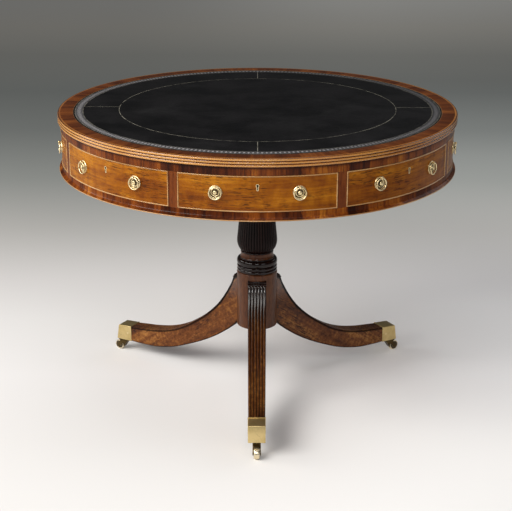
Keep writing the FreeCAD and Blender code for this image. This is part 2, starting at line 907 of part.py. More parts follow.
makeColumn()
for legName, legAngle in legAngles.items():
    makeLeg(legName, legAngle)
makeCaps()
for legName, legAngle in legAngles.items():
    makeCastor(legName, legAngle)
makeSwivel()
makeTop()
makeDrum()
dummyFronts = []
dummyBrass = []
for dummyAngle in dummyAngles.values():
    dummyFronts.append(turn(group(frontSolids(False)), dummyAngle))
    dummyBrass.append(turn(group(plates() + [lining()]), dummyAngle))
node(group(dummyFronts), "dummy_fronts")
node(group(dummyBrass), "dummy_brassware")
for drawerName, drawerAngle in drawerAngles.items():
    makeDrawer(drawerName, drawerAngle)
for panelName, panelAngle in {**drawerAngles, **dummyAngles}.items():
    kind = "drawer" if panelName in drawerAngles else "dummy"
    makeRing(f"{kind}_{panelName}_ring_a", panelAngle, -1)
    makeRing(f"{kind}_{panelName}_ring_b", panelAngle, 1)

doc.recompute()
broken = []
for item in doc.Objects:
    if "Invalid" in item.State or "Error" in item.State:
        broken.append(f"{item.Label} {item.State}")
for item in nodes:
    if item.Shape.isNull() or not item.Shape.isValid():
        broken.append(f"{item.Label} has no valid shape")
if broken:
    raise RuntimeError("; ".join(broken))
for item in nodes:
    item.Shape.exportStep(f"parts/{item.Label}.step")
    print(item.Label, len(item.Shape.Solids), "solids", round(item.Shape.Volume / 1000, 1), "cm3")
print(len(nodes), "nodes")
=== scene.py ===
import json
import math

import bmesh
import bpy
from mathutils import Matrix, Vector


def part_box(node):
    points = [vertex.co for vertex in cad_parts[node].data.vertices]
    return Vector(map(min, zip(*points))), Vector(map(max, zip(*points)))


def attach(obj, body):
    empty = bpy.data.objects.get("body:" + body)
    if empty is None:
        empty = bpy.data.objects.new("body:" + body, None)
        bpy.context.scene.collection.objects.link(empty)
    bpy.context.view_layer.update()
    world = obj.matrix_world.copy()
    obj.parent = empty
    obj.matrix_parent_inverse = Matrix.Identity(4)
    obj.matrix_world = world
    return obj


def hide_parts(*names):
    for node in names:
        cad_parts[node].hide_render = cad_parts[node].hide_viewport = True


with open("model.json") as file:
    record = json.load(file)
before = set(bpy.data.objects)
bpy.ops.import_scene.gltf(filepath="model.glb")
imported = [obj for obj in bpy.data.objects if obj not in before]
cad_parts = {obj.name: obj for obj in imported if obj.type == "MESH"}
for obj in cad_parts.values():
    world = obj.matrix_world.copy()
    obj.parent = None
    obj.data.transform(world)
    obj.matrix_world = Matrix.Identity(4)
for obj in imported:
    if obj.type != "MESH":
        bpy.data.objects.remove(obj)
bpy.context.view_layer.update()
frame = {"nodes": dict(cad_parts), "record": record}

nodes = frame["nodes"]
mm = 0.001
print("frame loaded:", len(nodes), "nodes")


def inMetres(plain, **lengths):
    # a dictionary of plain values, and of lengths that are written in millimetres
    return {**plain, **{name: length * mm for name, length in lengths.items()}}


def scaled(rows):
    return [tuple(length * mm for length in row) for row in rows]


def pick(facts, names):
    return [facts[name] for name in names.split()]


# Shader maths: a socket that adds its own Math nodes, and a finish that holds the node tree
class Socket:
    def __init__(self, finish, link):
        self.finish = finish
        self.link = link

    def __add__(self, other):
        return self.finish.maths("ADD", self, other)

    def __sub__(self, other):
        return self.finish.maths("SUBTRACT", self, other)

    def __rsub__(self, other):
        return self.finish.maths("SUBTRACT", other, self)

    def __mul__(self, other):
        return self.finish.maths("MULTIPLY", self, other)

    def __truediv__(self, other):
        return self.finish.maths("DIVIDE", self, other)

    def __pow__(self, other):
        return self.finish.maths("POWER", self, other)


class Finish:
    def __init__(self, name, **constants):
        self.material = bpy.data.materials.new(name)
        self.material.use_nodes = True
        self.tree = self.material.node_tree
        self.tree.nodes.clear()
        surface = self.node("ShaderNodeBsdfPrincipled", {}, {})
        self.shader = surface.link.node
        for socket, value in constants.items():
            self.shader.inputs[socket.replace("_", " ")].default_value = value
        self.node("ShaderNodeOutputMaterial", {}, {"Surface": surface})

    def node(self, kind, settings, values, out=0):
        made = self.tree.nodes.new(kind)
        for name, setting in settings.items():
            if name == "stops":
                for index, (place, colour) in enumerate(setting):
                    spots = made.color_ramp.elements
                    spot = spots[index] if index < 2 else spots.new(place)
                    spot.position = place
                    spot.color = (*colour, 1.0)
            else:
                setattr(made, name, setting)
        for name, value in values.items():
            if isinstance(value, Socket):
                self.tree.links.new(value.link, made.inputs[name])
            else:
                made.inputs[name].default_value = value
        return Socket(self, made.outputs[out]) if made.outputs else None

    def maths(self, operation, *terms):
        return self.node("ShaderNodeMath", {"operation": operation}, dict(enumerate(terms)))

    def step(self, value, low, high):
        settings = {"interpolation_type": "SMOOTHSTEP"}
        return self.node("ShaderNodeMapRange", settings, {0: value, 1: low, 2: high})

    def place(self):
        return self.node("ShaderNodeTexCoord", {}, {}, out=3)

    def axes(self):
        split = self.node("ShaderNodeSeparateXYZ", {}, {0: self.place()}).link.node
        return [Socket(self, output) for output in split.outputs]

    def roundPlace(self):
        # x, y, z and the distance from the upright axis
        x, y, z = self.axes()
        return x, y, z, (x * x + y * y) ** 0.5

    def turn(self, x, y):
        return self.maths("ARCTAN2", x, 0.0 - y)

    def joined(self, x, y, z):
        return self.node("ShaderNodeCombineXYZ", {}, {0: x, 1: y, 2: z})

    def noise(self, vector, scale, detail=3.0, rough=0.5, bend=0.0):
        values = {
            "Vector": vector, "Scale": scale, "Detail": detail, "Roughness": rough, "Distortion": bend,
        }
        return self.node("ShaderNodeTexNoise", {}, values)

    def ramp(self, value, stops):
        return self.node("ShaderNodeValToRGB", {"stops": stops}, {0: value})

    def mix(self, share, first, second):
        first, second = [(*c, 1.0) if isinstance(c, tuple) else c for c in (first, second)]
        return self.node("ShaderNodeMix", {"data_type": "RGBA"}, {0: share, 6: first, 7: second}, out=2)

    def attribute(self, name):
        return self.node("ShaderNodeAttribute", {"attribute_name": name}, {}, out=2)

    def bump(self, height, deep):
        return self.node("ShaderNodeBump", {}, {"Strength": 1.0, "Distance": deep, "Height": height})

    def wear(self, **links):
        for socket, value in links.items():
            self.tree.links.new(value.link, self.shader.inputs[socket.replace("_", " ")])
        return self.material


def tone(red, green, blue):
    # a colour as seen on a screen, 0 to 255, turned to the linear values that shaders use
    return tuple(((c / 255 + 0.055) / 1.055) ** 2.4 for c in (red, green, blue))


# Top: a board with a three-reeded edge, a crossbanded rim and the leather
topFacts = inMetres(
    {"reeds": 3, "steps": 288, "crease": 50.0},
    radius=496.9, top=750.0, foot=730.0, ground=748.8, thick=20.0, reedDeep=2.6, valley=494.3,
    rimRadius=490.0, leatherRadius=458.1, ease=0.35, leatherGap=0.1, leatherEase=0.5,
)

# Wood: every kind starts from the plain one; tones are places on the ramp with colours from 0 to 255
plainWood = {
    "streaks": 190.0, "pores": 1200.0, "figure": 0.2, "coat": 0.10, "rough": 0.32, "polish": 0.12,
    "leaf": 0.0, "flecks": 0.5, "flame": 0.0, "mottle": 0.0, "high": 0.0,
}
woods = {
    "panel": {
        "tones": ((0.30, (66, 28, 4)), (0.43, (112, 57, 6)), (0.55, (138, 79, 8)), (0.70, (170, 108, 20))),
        "bands": 24.0, "pores": 1300.0, "figure": 1.2, "flame": 0.34, "flecks": 0.8, "fleck": (46, 18, 4),
        "shine": 0.05,
    },
    "cross": {
        "tones": ((0.34, (36, 13, 6)), (0.46, (76, 33, 10)), (0.57, (116, 58, 16)), (0.72, (168, 104, 30))),
        "bands": 34.0, "leaf": 0.055, "fleck": (26, 10, 6), "shine": 0.04,
    },
    "rim": {
        "tones": ((0.30, (50, 22, 10)), (0.45, (78, 38, 15)), (0.58, (102, 54, 21)), (0.74, (136, 80, 34))),
        "bands": 34.0, "leaf": 0.055, "fleck": (30, 12, 7), "shine": 0.04,
    },
    "edge": {
        "tones": ((0.30, (96, 48, 15)), (0.48, (142, 82, 28)), (0.64, (184, 124, 54))),
        "bands": 14.0, "streaks": 160.0, "coat": 0.42, "rough": 0.26, "flecks": 0.4, "fleck": (44, 18, 8),
        # crest: the light colour of the top's reed crests, part wear and part painted highlight
        "shine": 0.3, "crest": (224, 176, 98),
    },
    "stile": {
        "tones": ((0.34, (60, 25, 9)), (0.50, (96, 46, 17)), (0.66, (122, 66, 28))),
        "bands": 26.0, "figure": 0.4, "fleck": (40, 16, 8), "shine": 0.05,
    },
    # bead: light wood for the cockbeads and the foot bead, made lighter still as a painted highlight on their
    # rounded noses
    "bead": {
        "tones": ((0.34, (120, 78, 38)), (0.50, (168, 124, 74)), (0.66, (204, 166, 114))),
        "bands": 18.0, "streaks": 200.0, "figure": 0.1, "coat": 0.5, "rough": 0.30, "flecks": 0.2,
        "fleck": (104, 64, 30), "shine": 0.3,
    },
    "dark": {
        "tones": ((0.32, (12, 6, 5)), (0.50, (24, 11, 8)), (0.68, (48, 24, 15))),
        "bands": 16.0, "streaks": 150.0, "pores": 1100.0, "figure": 0.3, "coat": 0.56, "rough": 0.20,
        "flecks": 0.3, "fleck": (8, 4, 4), "shine": 0.03, "polish": 0.05,
    },
    "vase": {
        "tones": ((0.32, (14, 6, 5)), (0.50, (30, 13, 10)), (0.68, (54, 26, 17))),
        "bands": 16.0, "streaks": 150.0, "pores": 1100.0, "figure": 0.3, "coat": 0.16, "rough": 0.24,
        "flecks": 0.3, "fleck": (8, 4, 4), "shine": 0.02, "polish": 0.07,
    },
    "block": {
        "tones": ((0.32, (48, 22, 11)), (0.45, (75, 40, 20)), (0.56, (94, 56, 31)), (0.70, (122, 78, 46))),
        "bands": 18.0, "streaks": 120.0, "pores": 900.0, "figure": 0.6, "coat": 0.2, "rough": 0.34,
        "flecks": 0.6, "fleck": (28, 13, 9), "shine": 0.12,
    },
    "leg": {
        "tones": ((0.32, (44, 20, 9)), (0.44, (80, 42, 17)), (0.55, (106, 61, 25)), (0.68, (150, 100, 47))),
        "bands": 18.0, "streaks": 120.0, "pores": 900.0, "figure": 0.6, "coat": 0.24, "rough": 0.34,
        "mottle": 0.42, "flecks": 0.9, "fleck": (26, 12, 7), "shine": 0.06, "high": 1.1,
    },
    "oak": {
        "tones": ((0.34, (130, 98, 60)), (0.50, (172, 138, 92)), (0.68, (200, 168, 122))),
        "bands": 30.0, "streaks": 240.0, "pores": 900.0, "figure": 0.1, "coat": 0.0, "rough": 0.62,
        "flecks": 0.3, "fleck": (120, 88, 52), "shine": 0.3,
    },
}
# for each noise: scale along the fibres and across them, detail, roughness and bend
grainFacts = {
    "figure": (30.0, 12.0, 3.0, 0.55, 0.9), "patch": (5.0, 9.0, 2.0, 0.5),
    "mottle": (120.0, 105.0, 3.0, 0.6, 0.4), "flecks": (46.0, 330.0, 2.0, 0.6, 0.3),
    "clouds": (7.0, 16.0, 3.0, 0.6, 0.5),
    "meanRadius": 0.49, "crossRadius": 0.47, "bumpDeep": 0.10 * mm,
    "dirtAndShade": tone(10, 5, 4), "dirtAndShadeMost": 0.96, "dirtAndShadeHeights": (0.16, 0.27), "polishHeights": (0.22, 0.28),
    "crestWearAndHighlight": 0.46, "crestHighlightLostRight": 0.34, "grooveShadeShare": 0.95,
    "rimHighlightTone": tone(150, 118, 84), "lineWide": 1.1 * mm, "overhangShadeFoot": 9.0 * mm, "overhangShadeTop": 1.5 * mm,
    "overhangShadeShare": 0.72,
}


def wood(name, kind, grain, reeds=False, paintedReedLight=False, line=0.0, overhangShade=0.0):
    # grain gives three coordinates in metres: along the fibres, and two across them
    facts, marks = {**plainWood, **woods[kind]}, grainFacts
    tones = [(place, tone(*seen)) for place, seen in facts["tones"]]
    fleckTone = tone(*facts["fleck"])
    f = Finish(name, Coat_Roughness=facts["polish"], Specular_IOR_Level=facts["shine"])
    along, across, deep = grain(f)

    def noise(long, wide, *shape, shifts=(0.0, 0.0, 0.0)):
        axes = (along * long, across * wide, deep * wide)
        return f.noise(f.joined(*[a + shift if shift else a for a, shift in zip(axes, shifts)]), 1.0, *shape)

    bands = noise(1.6, facts["bands"], 4.0, 0.6, 0.6, shifts=(3.1, 3.1, 0.0))
    streaks = noise(9.0, facts["streaks"], 4.0, 0.6, shifts=(7.7, 7.7, 0.0))
    pores = noise(70.0, facts["pores"], 2.0, 0.5, shifts=(1.9, 1.9, 0.0))
    figure = noise(*marks["figure"], shifts=(0.0, 0.0, 5.3))
    patch = noise(*marks["patch"])
    weight = 0.25 * facts["figure"]
    amount = bands * 0.55 + streaks * 0.25 + figure * weight + patch * 0.2 - (weight / 2)
    if facts["flame"]:
        # broad slanting clouds of light and dark
        slant = f.joined(along * 9.0 + across * 14.0, across * 34.0 - along * 3.0, deep * 12.0)
        amount = amount + (f.noise(slant, 1.0, 3.0, 0.6, 0.8) - 0.5) * facts["flame"]
    x, y, z, reach = f.roundPlace()
    if facts["leaf"]:
        # one leaf of veneer after another round the table, each with its own tone
        turn = f.turn(x, y)
        wave = f.noise(f.joined(turn * 3.0, z * 20.0, reach * 20.0), 1.0)
        leaf = f.maths("FLOOR", turn * (marks["meanRadius"] / facts["leaf"]) + wave * 0.6)
        chance = f.node("ShaderNodeTexWhiteNoise", {"noise_dimensions": "1D"}, {"W": leaf})
        amount = amount + (chance - 0.5) * 0.16
    if facts["mottle"]:
        amount = amount + (noise(*marks["mottle"]) - 0.5) * facts["mottle"]
    colour = f.ramp(amount, tones)
    pits = f.step(pores, 0.60, 0.74)
    colour = f.mix(pits * 0.5, colour, tones[0][1])
    clouds = noise(*marks["clouds"], shifts=(4.4, 0.0, 0.0))
    fleck = f.step(noise(*marks["flecks"]), 0.50, 0.66) * f.step(clouds, 0.36, 0.60)
    colour = f.mix(fleck * facts["flecks"], colour, fleckTone)
    if reeds:
        # painted shade, with some old polish, where the valley attribute is set: between the reeds and, on
        # the legs, over their reeded tops and along their long edges; darker high up
        valley = f.attribute("valley")
        dirtAndShade = valley * (f.step(z, *marks["dirtAndShadeHeights"]) * 1.1 + 0.9)
        colour = f.mix(f.maths("MINIMUM", dirtAndShade, marks["dirtAndShadeMost"]), colour, marks["dirtAndShade"])
    if paintedReedLight:
        # lighter crests on the top's three reeds, partly wear and mostly a painted highlight, weaker on the
        # right where less light falls, and painted shade in the dark lines between them
        waves = math.tau * topFacts["reeds"] / topFacts["thick"]
        ripple = f.maths("COSINE", (z - topFacts["foot"]) * waves)
        outside = f.step(reach, topFacts["valley"] - mm, topFacts["valley"])
        markShare = marks["crestWearAndHighlight"] - f.step(x, -0.1, 0.45) * marks["crestHighlightLostRight"]
        colour = f.mix(f.step(0.0 - ripple, -0.1, 0.95) * outside * markShare, colour, tone(*facts["crest"]))
        colour = f.mix(f.step(ripple, 0.45, 0.92) * outside * marks["grooveShadeShare"], colour, fleckTone)
    if line:
        # painted highlight: a thin light line where the rim meets the leather
        rimHighlight = 1.0 - f.step(reach, line, line + marks["lineWide"])
        colour = f.mix(rimHighlight * 0.7, colour, marks["rimHighlightTone"])
    if overhangShade:
        # painted shade under the overhang of the top
        overhangShadow = f.step(z, overhangShade - marks["overhangShadeFoot"], overhangShade - marks["overhangShadeTop"])
        colour = f.mix(overhangShadow * marks["overhangShadeShare"], colour, fleckTone)
    gloss = streaks * 0.10 + pits * 0.12 + (facts["rough"] - 0.07)
    height = streaks * 0.35 - pits * 0.6
    coat = patch * 0.2 + (facts["coat"] - 0.08) if facts["coat"] else streaks * 0.0
    if reeds:
        # the crests are polished, most of all high up
        coat = (coat + f.step(z, *marks["polishHeights"]) * facts["high"]) * (1.1 - valley)
    return f.wear(
        Base_Color=colour, Roughness=gloss, Coat_Weight=coat, Normal=f.bump(height, marks["bumpDeep"]),
    )


def grainRing(f):
    # fibres run round the table
    x, y, z, reach = f.roundPlace()
    return f.turn(x, y) * grainFacts["meanRadius"], z, reach


def grainRadial(f):
    # fibres run outwards, as in a crossbanded rim
    x, y, z, reach = f.roundPlace()
    return reach, x / reach * grainFacts["crossRadius"], y / reach * grainFacts["crossRadius"]


def grainUpright(f):
    x, y, z = f.axes()
    return z, x, y


def grainLengthways(angle, lean=0.0):
    # fibres run outwards from the axis at an angle, falling by a lean
    def grain(f):
        x, y, z = f.axes()
        out = x * math.cos(angle) + y * math.sin(angle)
        side = y * math.cos(angle) - x * math.sin(angle)
        along = out * math.cos(lean) - z * math.sin(lean)
        return along, out * math.sin(lean) + z * math.cos(lean), side
    return grain


brassFacts = {"metal": 0.9, "stain": tone(96, 74, 36), "tarnishAndShade": tone(58, 46, 22), "bumpDeep": 0.02 * mm}


def brass(name, base, dull, rough, spots, hollows=0.0):
    facts = brassFacts
    f = Finish(name, Metallic=facts["metal"])
    place = f.place()
    cloud = f.noise(place, 40.0, 3.0, 0.5)
    scratch = f.noise(place, 700.0, 3.0, 0.7)
    stain = f.step(f.noise(place, 120.0, 4.0, 0.6, 0.4), 0.54, 0.76)
    colour = f.mix(f.step(cloud, 0.35, 0.70) * 0.5, tone(*base), tone(*dull))
    colour = f.mix(stain * spots, colour, facts["stain"])
    gloss = cloud * 0.16 + scratch * 0.08 + stain * 0.15 + (rough - 0.12)
    normal = f.bump(scratch * 0.3 + cloud, facts["bumpDeep"])
    if not hollows:
        return f.wear(Base_Color=colour, Roughness=gloss, Normal=normal)
    # painted shade in the hollows, together with old wax and oxide
    valley = f.attribute("valley") * hollows
    return f.wear(
        Base_Color=f.mix(valley, colour, facts["tarnishAndShade"]), Roughness=gloss + valley * 0.25,
        Metallic=facts["metal"] - valley * 0.5, Normal=normal,
    )


def ironFinish():
    f = Finish("blackIron", Metallic=1.0)
    cloud = f.noise(f.place(), 90.0, 4.0, 0.6)
    colour = f.ramp(cloud, ((0.3, tone(38, 34, 32)), (0.7, tone(86, 76, 68))))
    return f.wear(Base_Color=colour, Roughness=cloud * 0.3 + 0.35, Normal=f.bump(cloud, 0.2 * mm))


leatherFacts = inMetres(
    {
        "flowers": 280, "ground": (tone(3, 3, 4), tone(19, 18, 19)), "rubbed": tone(40, 40, 40),
        "tooled": tone(150, 148, 150), "gilt": tone(150, 146, 132), "shine": 0.14, "rough": 0.40,
    },
    borderWide=24.0, borderEdge=4.5, circle=345.0, lineWide=0.9, flowerWide=10.0, bumpDeep=0.25,
)


def leatherFinish(radius):
    facts = leatherFacts
    f = Finish("tooledLeather", Specular_IOR_Level=facts["shine"])
    x, y, z, reach = f.roundPlace()
    place = f.place()
    turn = f.turn(x, y)
    cloud = f.noise(place, 9.0, 4.0, 0.6)
    rubbed = f.step(f.noise(place, 3.2, 5.0, 0.65, 0.6), 0.52, 0.72)
    colour = f.mix(f.step(cloud, 0.3, 0.7), *facts["ground"])
    colour = f.mix(rubbed * 0.35, colour, facts["rubbed"])
    inner, outer = radius - facts["borderWide"], radius - facts["borderEdge"]

    def line(middle):
        half = facts["lineWide"]
        return 1.0 - f.step(f.maths("ABSOLUTE", reach - middle), half * 0.5, half)

    # the tooled border: a row of small flowers on stippled ground, between two fillet lines
    band = f.step(reach, inner, inner + mm) * (1.0 - f.step(reach, outer - mm, outer))
    petalAcross = (reach - (inner + outer) / 2) / (facts["flowerWide"] / 2)
    petalAlong = f.maths("SINE", turn * (facts["flowers"] / 2))
    petal = 1.0 - f.step(petalAcross * petalAcross + petalAlong * petalAlong * 2.2, 0.5, 1.5)
    specks = f.step(f.noise(place, 420.0, 2.0, 0.5), 0.46, 0.58)
    stamped = band * f.maths("MINIMUM", petal * 0.9 + specks * 0.32 + 0.10, 1.0)
    fillets = line(inner) + line(outer)
    circle = line(facts["circle"])
    along = f.maths("MINIMUM", f.maths("ABSOLUTE", x), f.maths("ABSOLUTE", y))
    spokes = (1.0 - f.step(along, 0.4 * mm, 0.9 * mm)) * f.step(reach, facts["circle"], facts["circle"] + mm)
    spokes = spokes * (1.0 - f.step(reach, inner - mm, inner))
    # the tooling is fainter towards the right and the back
    markShare = f.step(f.noise(place, 40.0, 3.0, 0.6), 0.30, 0.62)
    kept = 0.8 - f.step(x, -0.2, 0.42) * 0.3 - f.step(y, -0.3, 0.2) * 0.14
    colour = f.mix(stamped * kept, colour, facts["tooled"])
    colour = f.mix((circle + spokes + fillets * 0.6) * markShare * 0.8, colour, facts["gilt"])
    pebble = f.node("ShaderNodeTexVoronoi", {}, {"Vector": place, "Scale": 900.0})
    crease = f.noise(place, 260.0, 4.0, 0.6, 0.5)
    sunk = stamped + (circle + spokes + fillets) * 0.8
    height = pebble * 0.25 + crease * 0.35 - sunk
    gloss = cloud * 0.14 + crease * 0.12 + facts["rough"]
    return f.wear(Base_Color=colour, Roughness=gloss, Normal=f.bump(height, facts["bumpDeep"]))


# painted shade: the near-black colour put inside the keyholes, where the lock lies in shade
def keyholeShadeFinish():
    f = Finish("paintedKeyholeShade", Roughness=0.9)
    colour = f.ramp(f.noise(f.place(), 400.0), ((0.3, tone(8, 6, 5)), (0.7, tone(16, 12, 9))))
    return f.wear(Base_Color=colour)


legAngles = {"front": -90, "back_right": 30, "back_left": 150}
legLean = math.radians(35.0)
panelWood = wood("mahoganyPanel", "panel", grainRing)
crossWood = wood("mahoganyCross", "cross", grainUpright, overhangShade=topFacts["foot"])
stileWood = wood("mahoganyStile", "stile", grainUpright)
bandWood = wood("mahoganyBanding", "rim", grainRadial, line=topFacts["leatherRadius"])
edgeWood = wood("mahoganyEdge", "edge", grainRing, paintedReedLight=True)
columnWood = wood("mahoganyColumn", "dark", grainUpright)
vaseWood = wood("mahoganyVase", "vase", grainUpright, reeds=True)
blockWood = wood("mahoganyBlock", "block", grainUpright)
beadWood = wood("mahoganyBead", "bead", grainRing)
legWoods = {
    name: wood("mahoganyLeg_" + name, "leg", grainLengthways(math.radians(angle), legLean), reeds=True)
    for name, angle in legAngles.items()
}
oakWood = wood("oakLining", "oak", grainLengthways(0.0))
oakAcross = wood("oakLiningAcross", "oak", grainLengthways(math.radians(90.0)))
capBrass = brass("capBrass", (216, 192, 136), (188, 162, 102), 0.34, 0.35)
polishedBrass = brass("polishedBrass", (238, 220, 176), (216, 190, 134), 0.26, 0.15)
castBrass = brass("castBrass", (230, 210, 162), (200, 174, 118), 0.34, 0.3)
plateBrass = brass("plateBrass", (234, 214, 168), (206, 182, 126), 0.30, 0.25, hollows=0.95)
wheelBrass = brass("wheelBrass", (236, 222, 192), (214, 194, 150), 0.28, 0.15, hollows=0.95)
darkBrass = brass("darkBrass", (92, 74, 42), (52, 42, 28), 0.40, 0.5)
iron = ironFinish()
leather = leatherFinish(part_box("leather_top")[1].x)
shadeInKeyholes = keyholeShadeFinish()
print("finishes made")

# The first row with a word that is in a node's name dresses it: at the front and back, or elsewhere
dressing = (
    (("brassware", "ring", "toe_cap", "castor", "bush"), castBrass, castBrass),
    (("spindle", "plate"), iron, iron),
    (("_box",), oakAcross, oakWood),
    (("carcase_top", "carcase_bottom"), crossWood, crossWood),
    (("_bottom", "drawer_guides"), oakWood, oakAcross),
    (("column", "bearer"), columnWood, columnWood),
    (("leather_top",), leather, leather),
    (("top_crossbanding",), bandWood, bandWood),
    (("front",), panelWood, panelWood),
    (("stiles",), stileWood, stileWood),
    (("",), edgeWood, edgeWood),
)
for name, node in nodes.items():
    atEnds = "front" in name or "back" in name
    material = next(row[1 if atEnds else 2] for row in dressing if any(word in name for word in row[0]))
    node.data.materials.clear()
    node.data.materials.append(material)

# Mesh helpers
bodyOf = {node: body for body, held in frame["record"]["behaviour"]["bodies"].items() for node in held}
weld = 0.004 * mm


def meshOf(name, bm):
    mesh = bpy.data.meshes.new(name)
    bm.to_mesh(mesh)
    bm.free()
    return mesh


def shown(name, data):
    made = bpy.data.objects.new(name, data)
    bpy.context.scene.collection.objects.link(made)
    return made


def piece(name, bm, material, stands, crease=32.0):
    bmesh.ops.remove_doubles(bm, verts=bm.verts, dist=weld)
    bmesh.ops.recalc_face_normals(bm, faces=bm.faces)
    mesh = meshOf(name, bm)
    mesh.shade_smooth()
    mesh.set_sharp_from_angle(angle=math.radians(crease))
    mesh.materials.append(material)
    made = shown(name, mesh)
    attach(made, bodyOf[stands])
    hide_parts(stands)
    return made


def turned(bm, degrees, axis="Z"):
    bmesh.ops.rotate(bm, verts=bm.verts, matrix=Matrix.Rotation(math.radians(degrees), 3, axis))
    return bm


def moved(bm, x, y, z):
    bmesh.ops.translate(bm, verts=bm.verts, vec=(x, y, z))
    return bm


def joined(parts):
    # several shells kept in one piece
    whole = bmesh.new()
    for bm in parts:
        mesh = meshOf("part", bm)
        whole.from_mesh(mesh)
        bpy.data.meshes.remove(mesh)
    return whole


def eased(bm, ease, segments=3, geom=None, affect="EDGES"):
    bmesh.ops.bevel(
        bm, geom=geom or bm.edges, offset=ease, offset_type="OFFSET", segments=segments, profile=0.5,
        affect=affect, material=-1,
    )
    return bm


def spun(bm, steps):
    bmesh.ops.spin(
        bm, geom=bm.verts[:] + bm.edges[:], cent=(0, 0, 0), axis=(0, 0, 1), angle=math.tau,
        steps=steps, use_merge=True,
    )
    return bm


def lathe(outline, steps=96, ring=False):
    # rows of radius, height and the ease of that corner, turned about the upright axis
    bm = bmesh.new()
    corners = [bm.verts.new((row[0], 0.0, row[1])) for row in outline]
    for span in zip(corners, corners[1:] + corners[:1] if ring else corners[1:]):
        bm.edges.new(span)
    for corner, row in zip(corners, outline):
        if len(row) > 2:
            eased(bm, row[2], geom=[corner], affect="VERTICES")
    spun(bm, steps)
    bmesh.ops.remove_doubles(bm, verts=bm.verts, dist=weld)
    return bm


def torus(radius, wire, steps, sides):
    bm = bmesh.new()
    bmesh.ops.create_circle(bm, segments=sides, radius=wire)
    return spun(moved(turned(bm, 90, "X"), radius, 0.0, 0.0), steps)


def pin(radius, low, high, *ease, dome=None, steps=24):
    # a short turned post; its upper edge can be eased and its end domed
    end = high if dome is None else dome
    return lathe([(0.0, low), (radius, low), (radius, high, *ease), (0.0, end)], steps)


def rod(radius, long, sides):
    bm = bmesh.new()
    bmesh.ops.create_cone(bm, cap_ends=True, segments=sides, radius1=radius, radius2=radius, depth=long)
    return bm


def curved(start, end, reach, places):
    # rows from one corner to another; each place is a share of the way and of the reach outwards
    (nearOut, nearHigh), (farOut, farHigh) = start, end
    return [
        (nearOut + (farOut - nearOut) * share + reach * out, nearHigh + (farHigh - nearHigh) * share)
        for share, out in places
    ]


def swell(start, end, reach, count=7):
    # a half-round moulding between two corners
    turns = [math.pi * index / count for index in range(count + 1)]
    return curved(start, end, reach, [((1.0 - math.cos(turn)) / 2, math.sin(turn)) for turn in turns])


def bow(start, end, reach, count=6):
    # a shallow curve between two corners
    shares = [index / count for index in range(count + 1)]
    return curved(start, end, reach, [(share, 4 * share * (1.0 - share)) for share in shares])


def only(items, kind):
    return [item for item in items if isinstance(item, kind)]


def swept(count, at, stations, deeps):
    # a closed section drawn through stations; at gives the place of one of its corners, and deeps says
    # how deep in a valley each corner lies, for the painted shade between reeds
    bm = bmesh.new()
    seat = bm.verts.layers.int.new("seat")
    ring = bmesh.ops.create_circle(bm, segments=count, radius=1.0)["verts"]
    for index, vert in enumerate(ring):
        vert[seat] = index
        vert.co = at(index, stations[0])
    edges = bm.edges[:]
    for station in stations[1:]:
        grown = bmesh.ops.extrude_edge_only(bm, edges=edges)["geom"]
        verts = set(only(grown, bmesh.types.BMVert))
        for vert in verts:
            vert.co = at(vert[seat], station)
        edges = [edge for edge in only(grown, bmesh.types.BMEdge) if verts.issuperset(edge.verts)]
    bmesh.ops.holes_fill(bm, edges=bm.edges, sides=0)
    valley = bm.verts.layers.float.new("valley")
    seat = bm.verts.layers.int["seat"]
    for vert in bm.verts:
        vert[valley] = deeps[vert[seat]]
    bm.verts.layers.int.remove(seat)
    return bm


def darkened(bm, hollows):
    # corners of a turned shape that lie in its hollows: between two radii, below a height
    valley = bm.verts.layers.float.new("valley")
    for vert in bm.verts:
        reach = math.hypot(vert.co.x, vert.co.y)
        vert[valley] = float(any(near < reach < far and abs(vert.co.z) < top for near, far, top in hollows))


def reedDeep(share):
    return 1.0 - math.sqrt(max(0.0, 1.0 - (2.0 * share - 1.0) ** 2))


def between(rows, place):
    # a smooth line through rows of numbers
    index = min(int(place), len(rows) - 2)
    t = place - index
    p, q, r, s = (rows[max(0, min(len(rows) - 1, index + k))] for k in (-1, 0, 1, 2))
    return [
        0.5 * (2 * b + (c - a) * t + (2 * a - 5 * b + 4 * c - d) * t * t + (3 * b - a - 3 * c + d) * t ** 3)
        for a, b, c, d in zip(p, q, r, s)
    ]


def board(x0, x1, y0, y1, z0, z1, ease=0.0):
    bm = bmesh.new()
    bmesh.ops.create_cube(bm, size=1.0)
    bmesh.ops.scale(bm, verts=bm.verts, vec=(x1 - x0, y1 - y0, z1 - z0))
    moved(bm, (x0 + x1) / 2, (y0 + y1) / 2, (z0 + z1) / 2)
    return eased(bm, ease, 2) if ease else bm


def makeTop():
    steps, reeds, crease, top, foot, ground = pick(topFacts, "steps reeds crease top foot ground")
    rim, inner, deep, radius = pick(topFacts, "rimRadius leatherRadius reedDeep radius")
    ease, gap, soft = pick(topFacts, "ease leatherGap leatherEase")
    pitch = (top - foot) / reeds
    valley = radius - deep
    rows = [(0.0, foot)]
    for reed in range(reeds):
        low = foot + pitch * reed
        rows += swell((valley, low), (valley, low + pitch), deep, 8)[bool(reed):]
    rows += [(rim, top), (rim, ground), (0.0, ground)]
    under = piece("topBoard", lathe(rows, steps), edgeWood, "top_board", crease)
    rows = [(inner, ground), (rim, ground), (rim, top, ease), (inner, top, ease)]
    piece("crossbandedRim", lathe(rows, steps, True), bandWood, "top_crossbanding")
    edge, high = inner - gap, top - gap
    rows = [(0.0, ground), (edge, ground), (edge, high, soft), (0.0, high)]
    skin = piece("leatherSkin", lathe(rows, steps), leather, "leather_top")
    wide = inner * 2
    math.pi * inner * inner


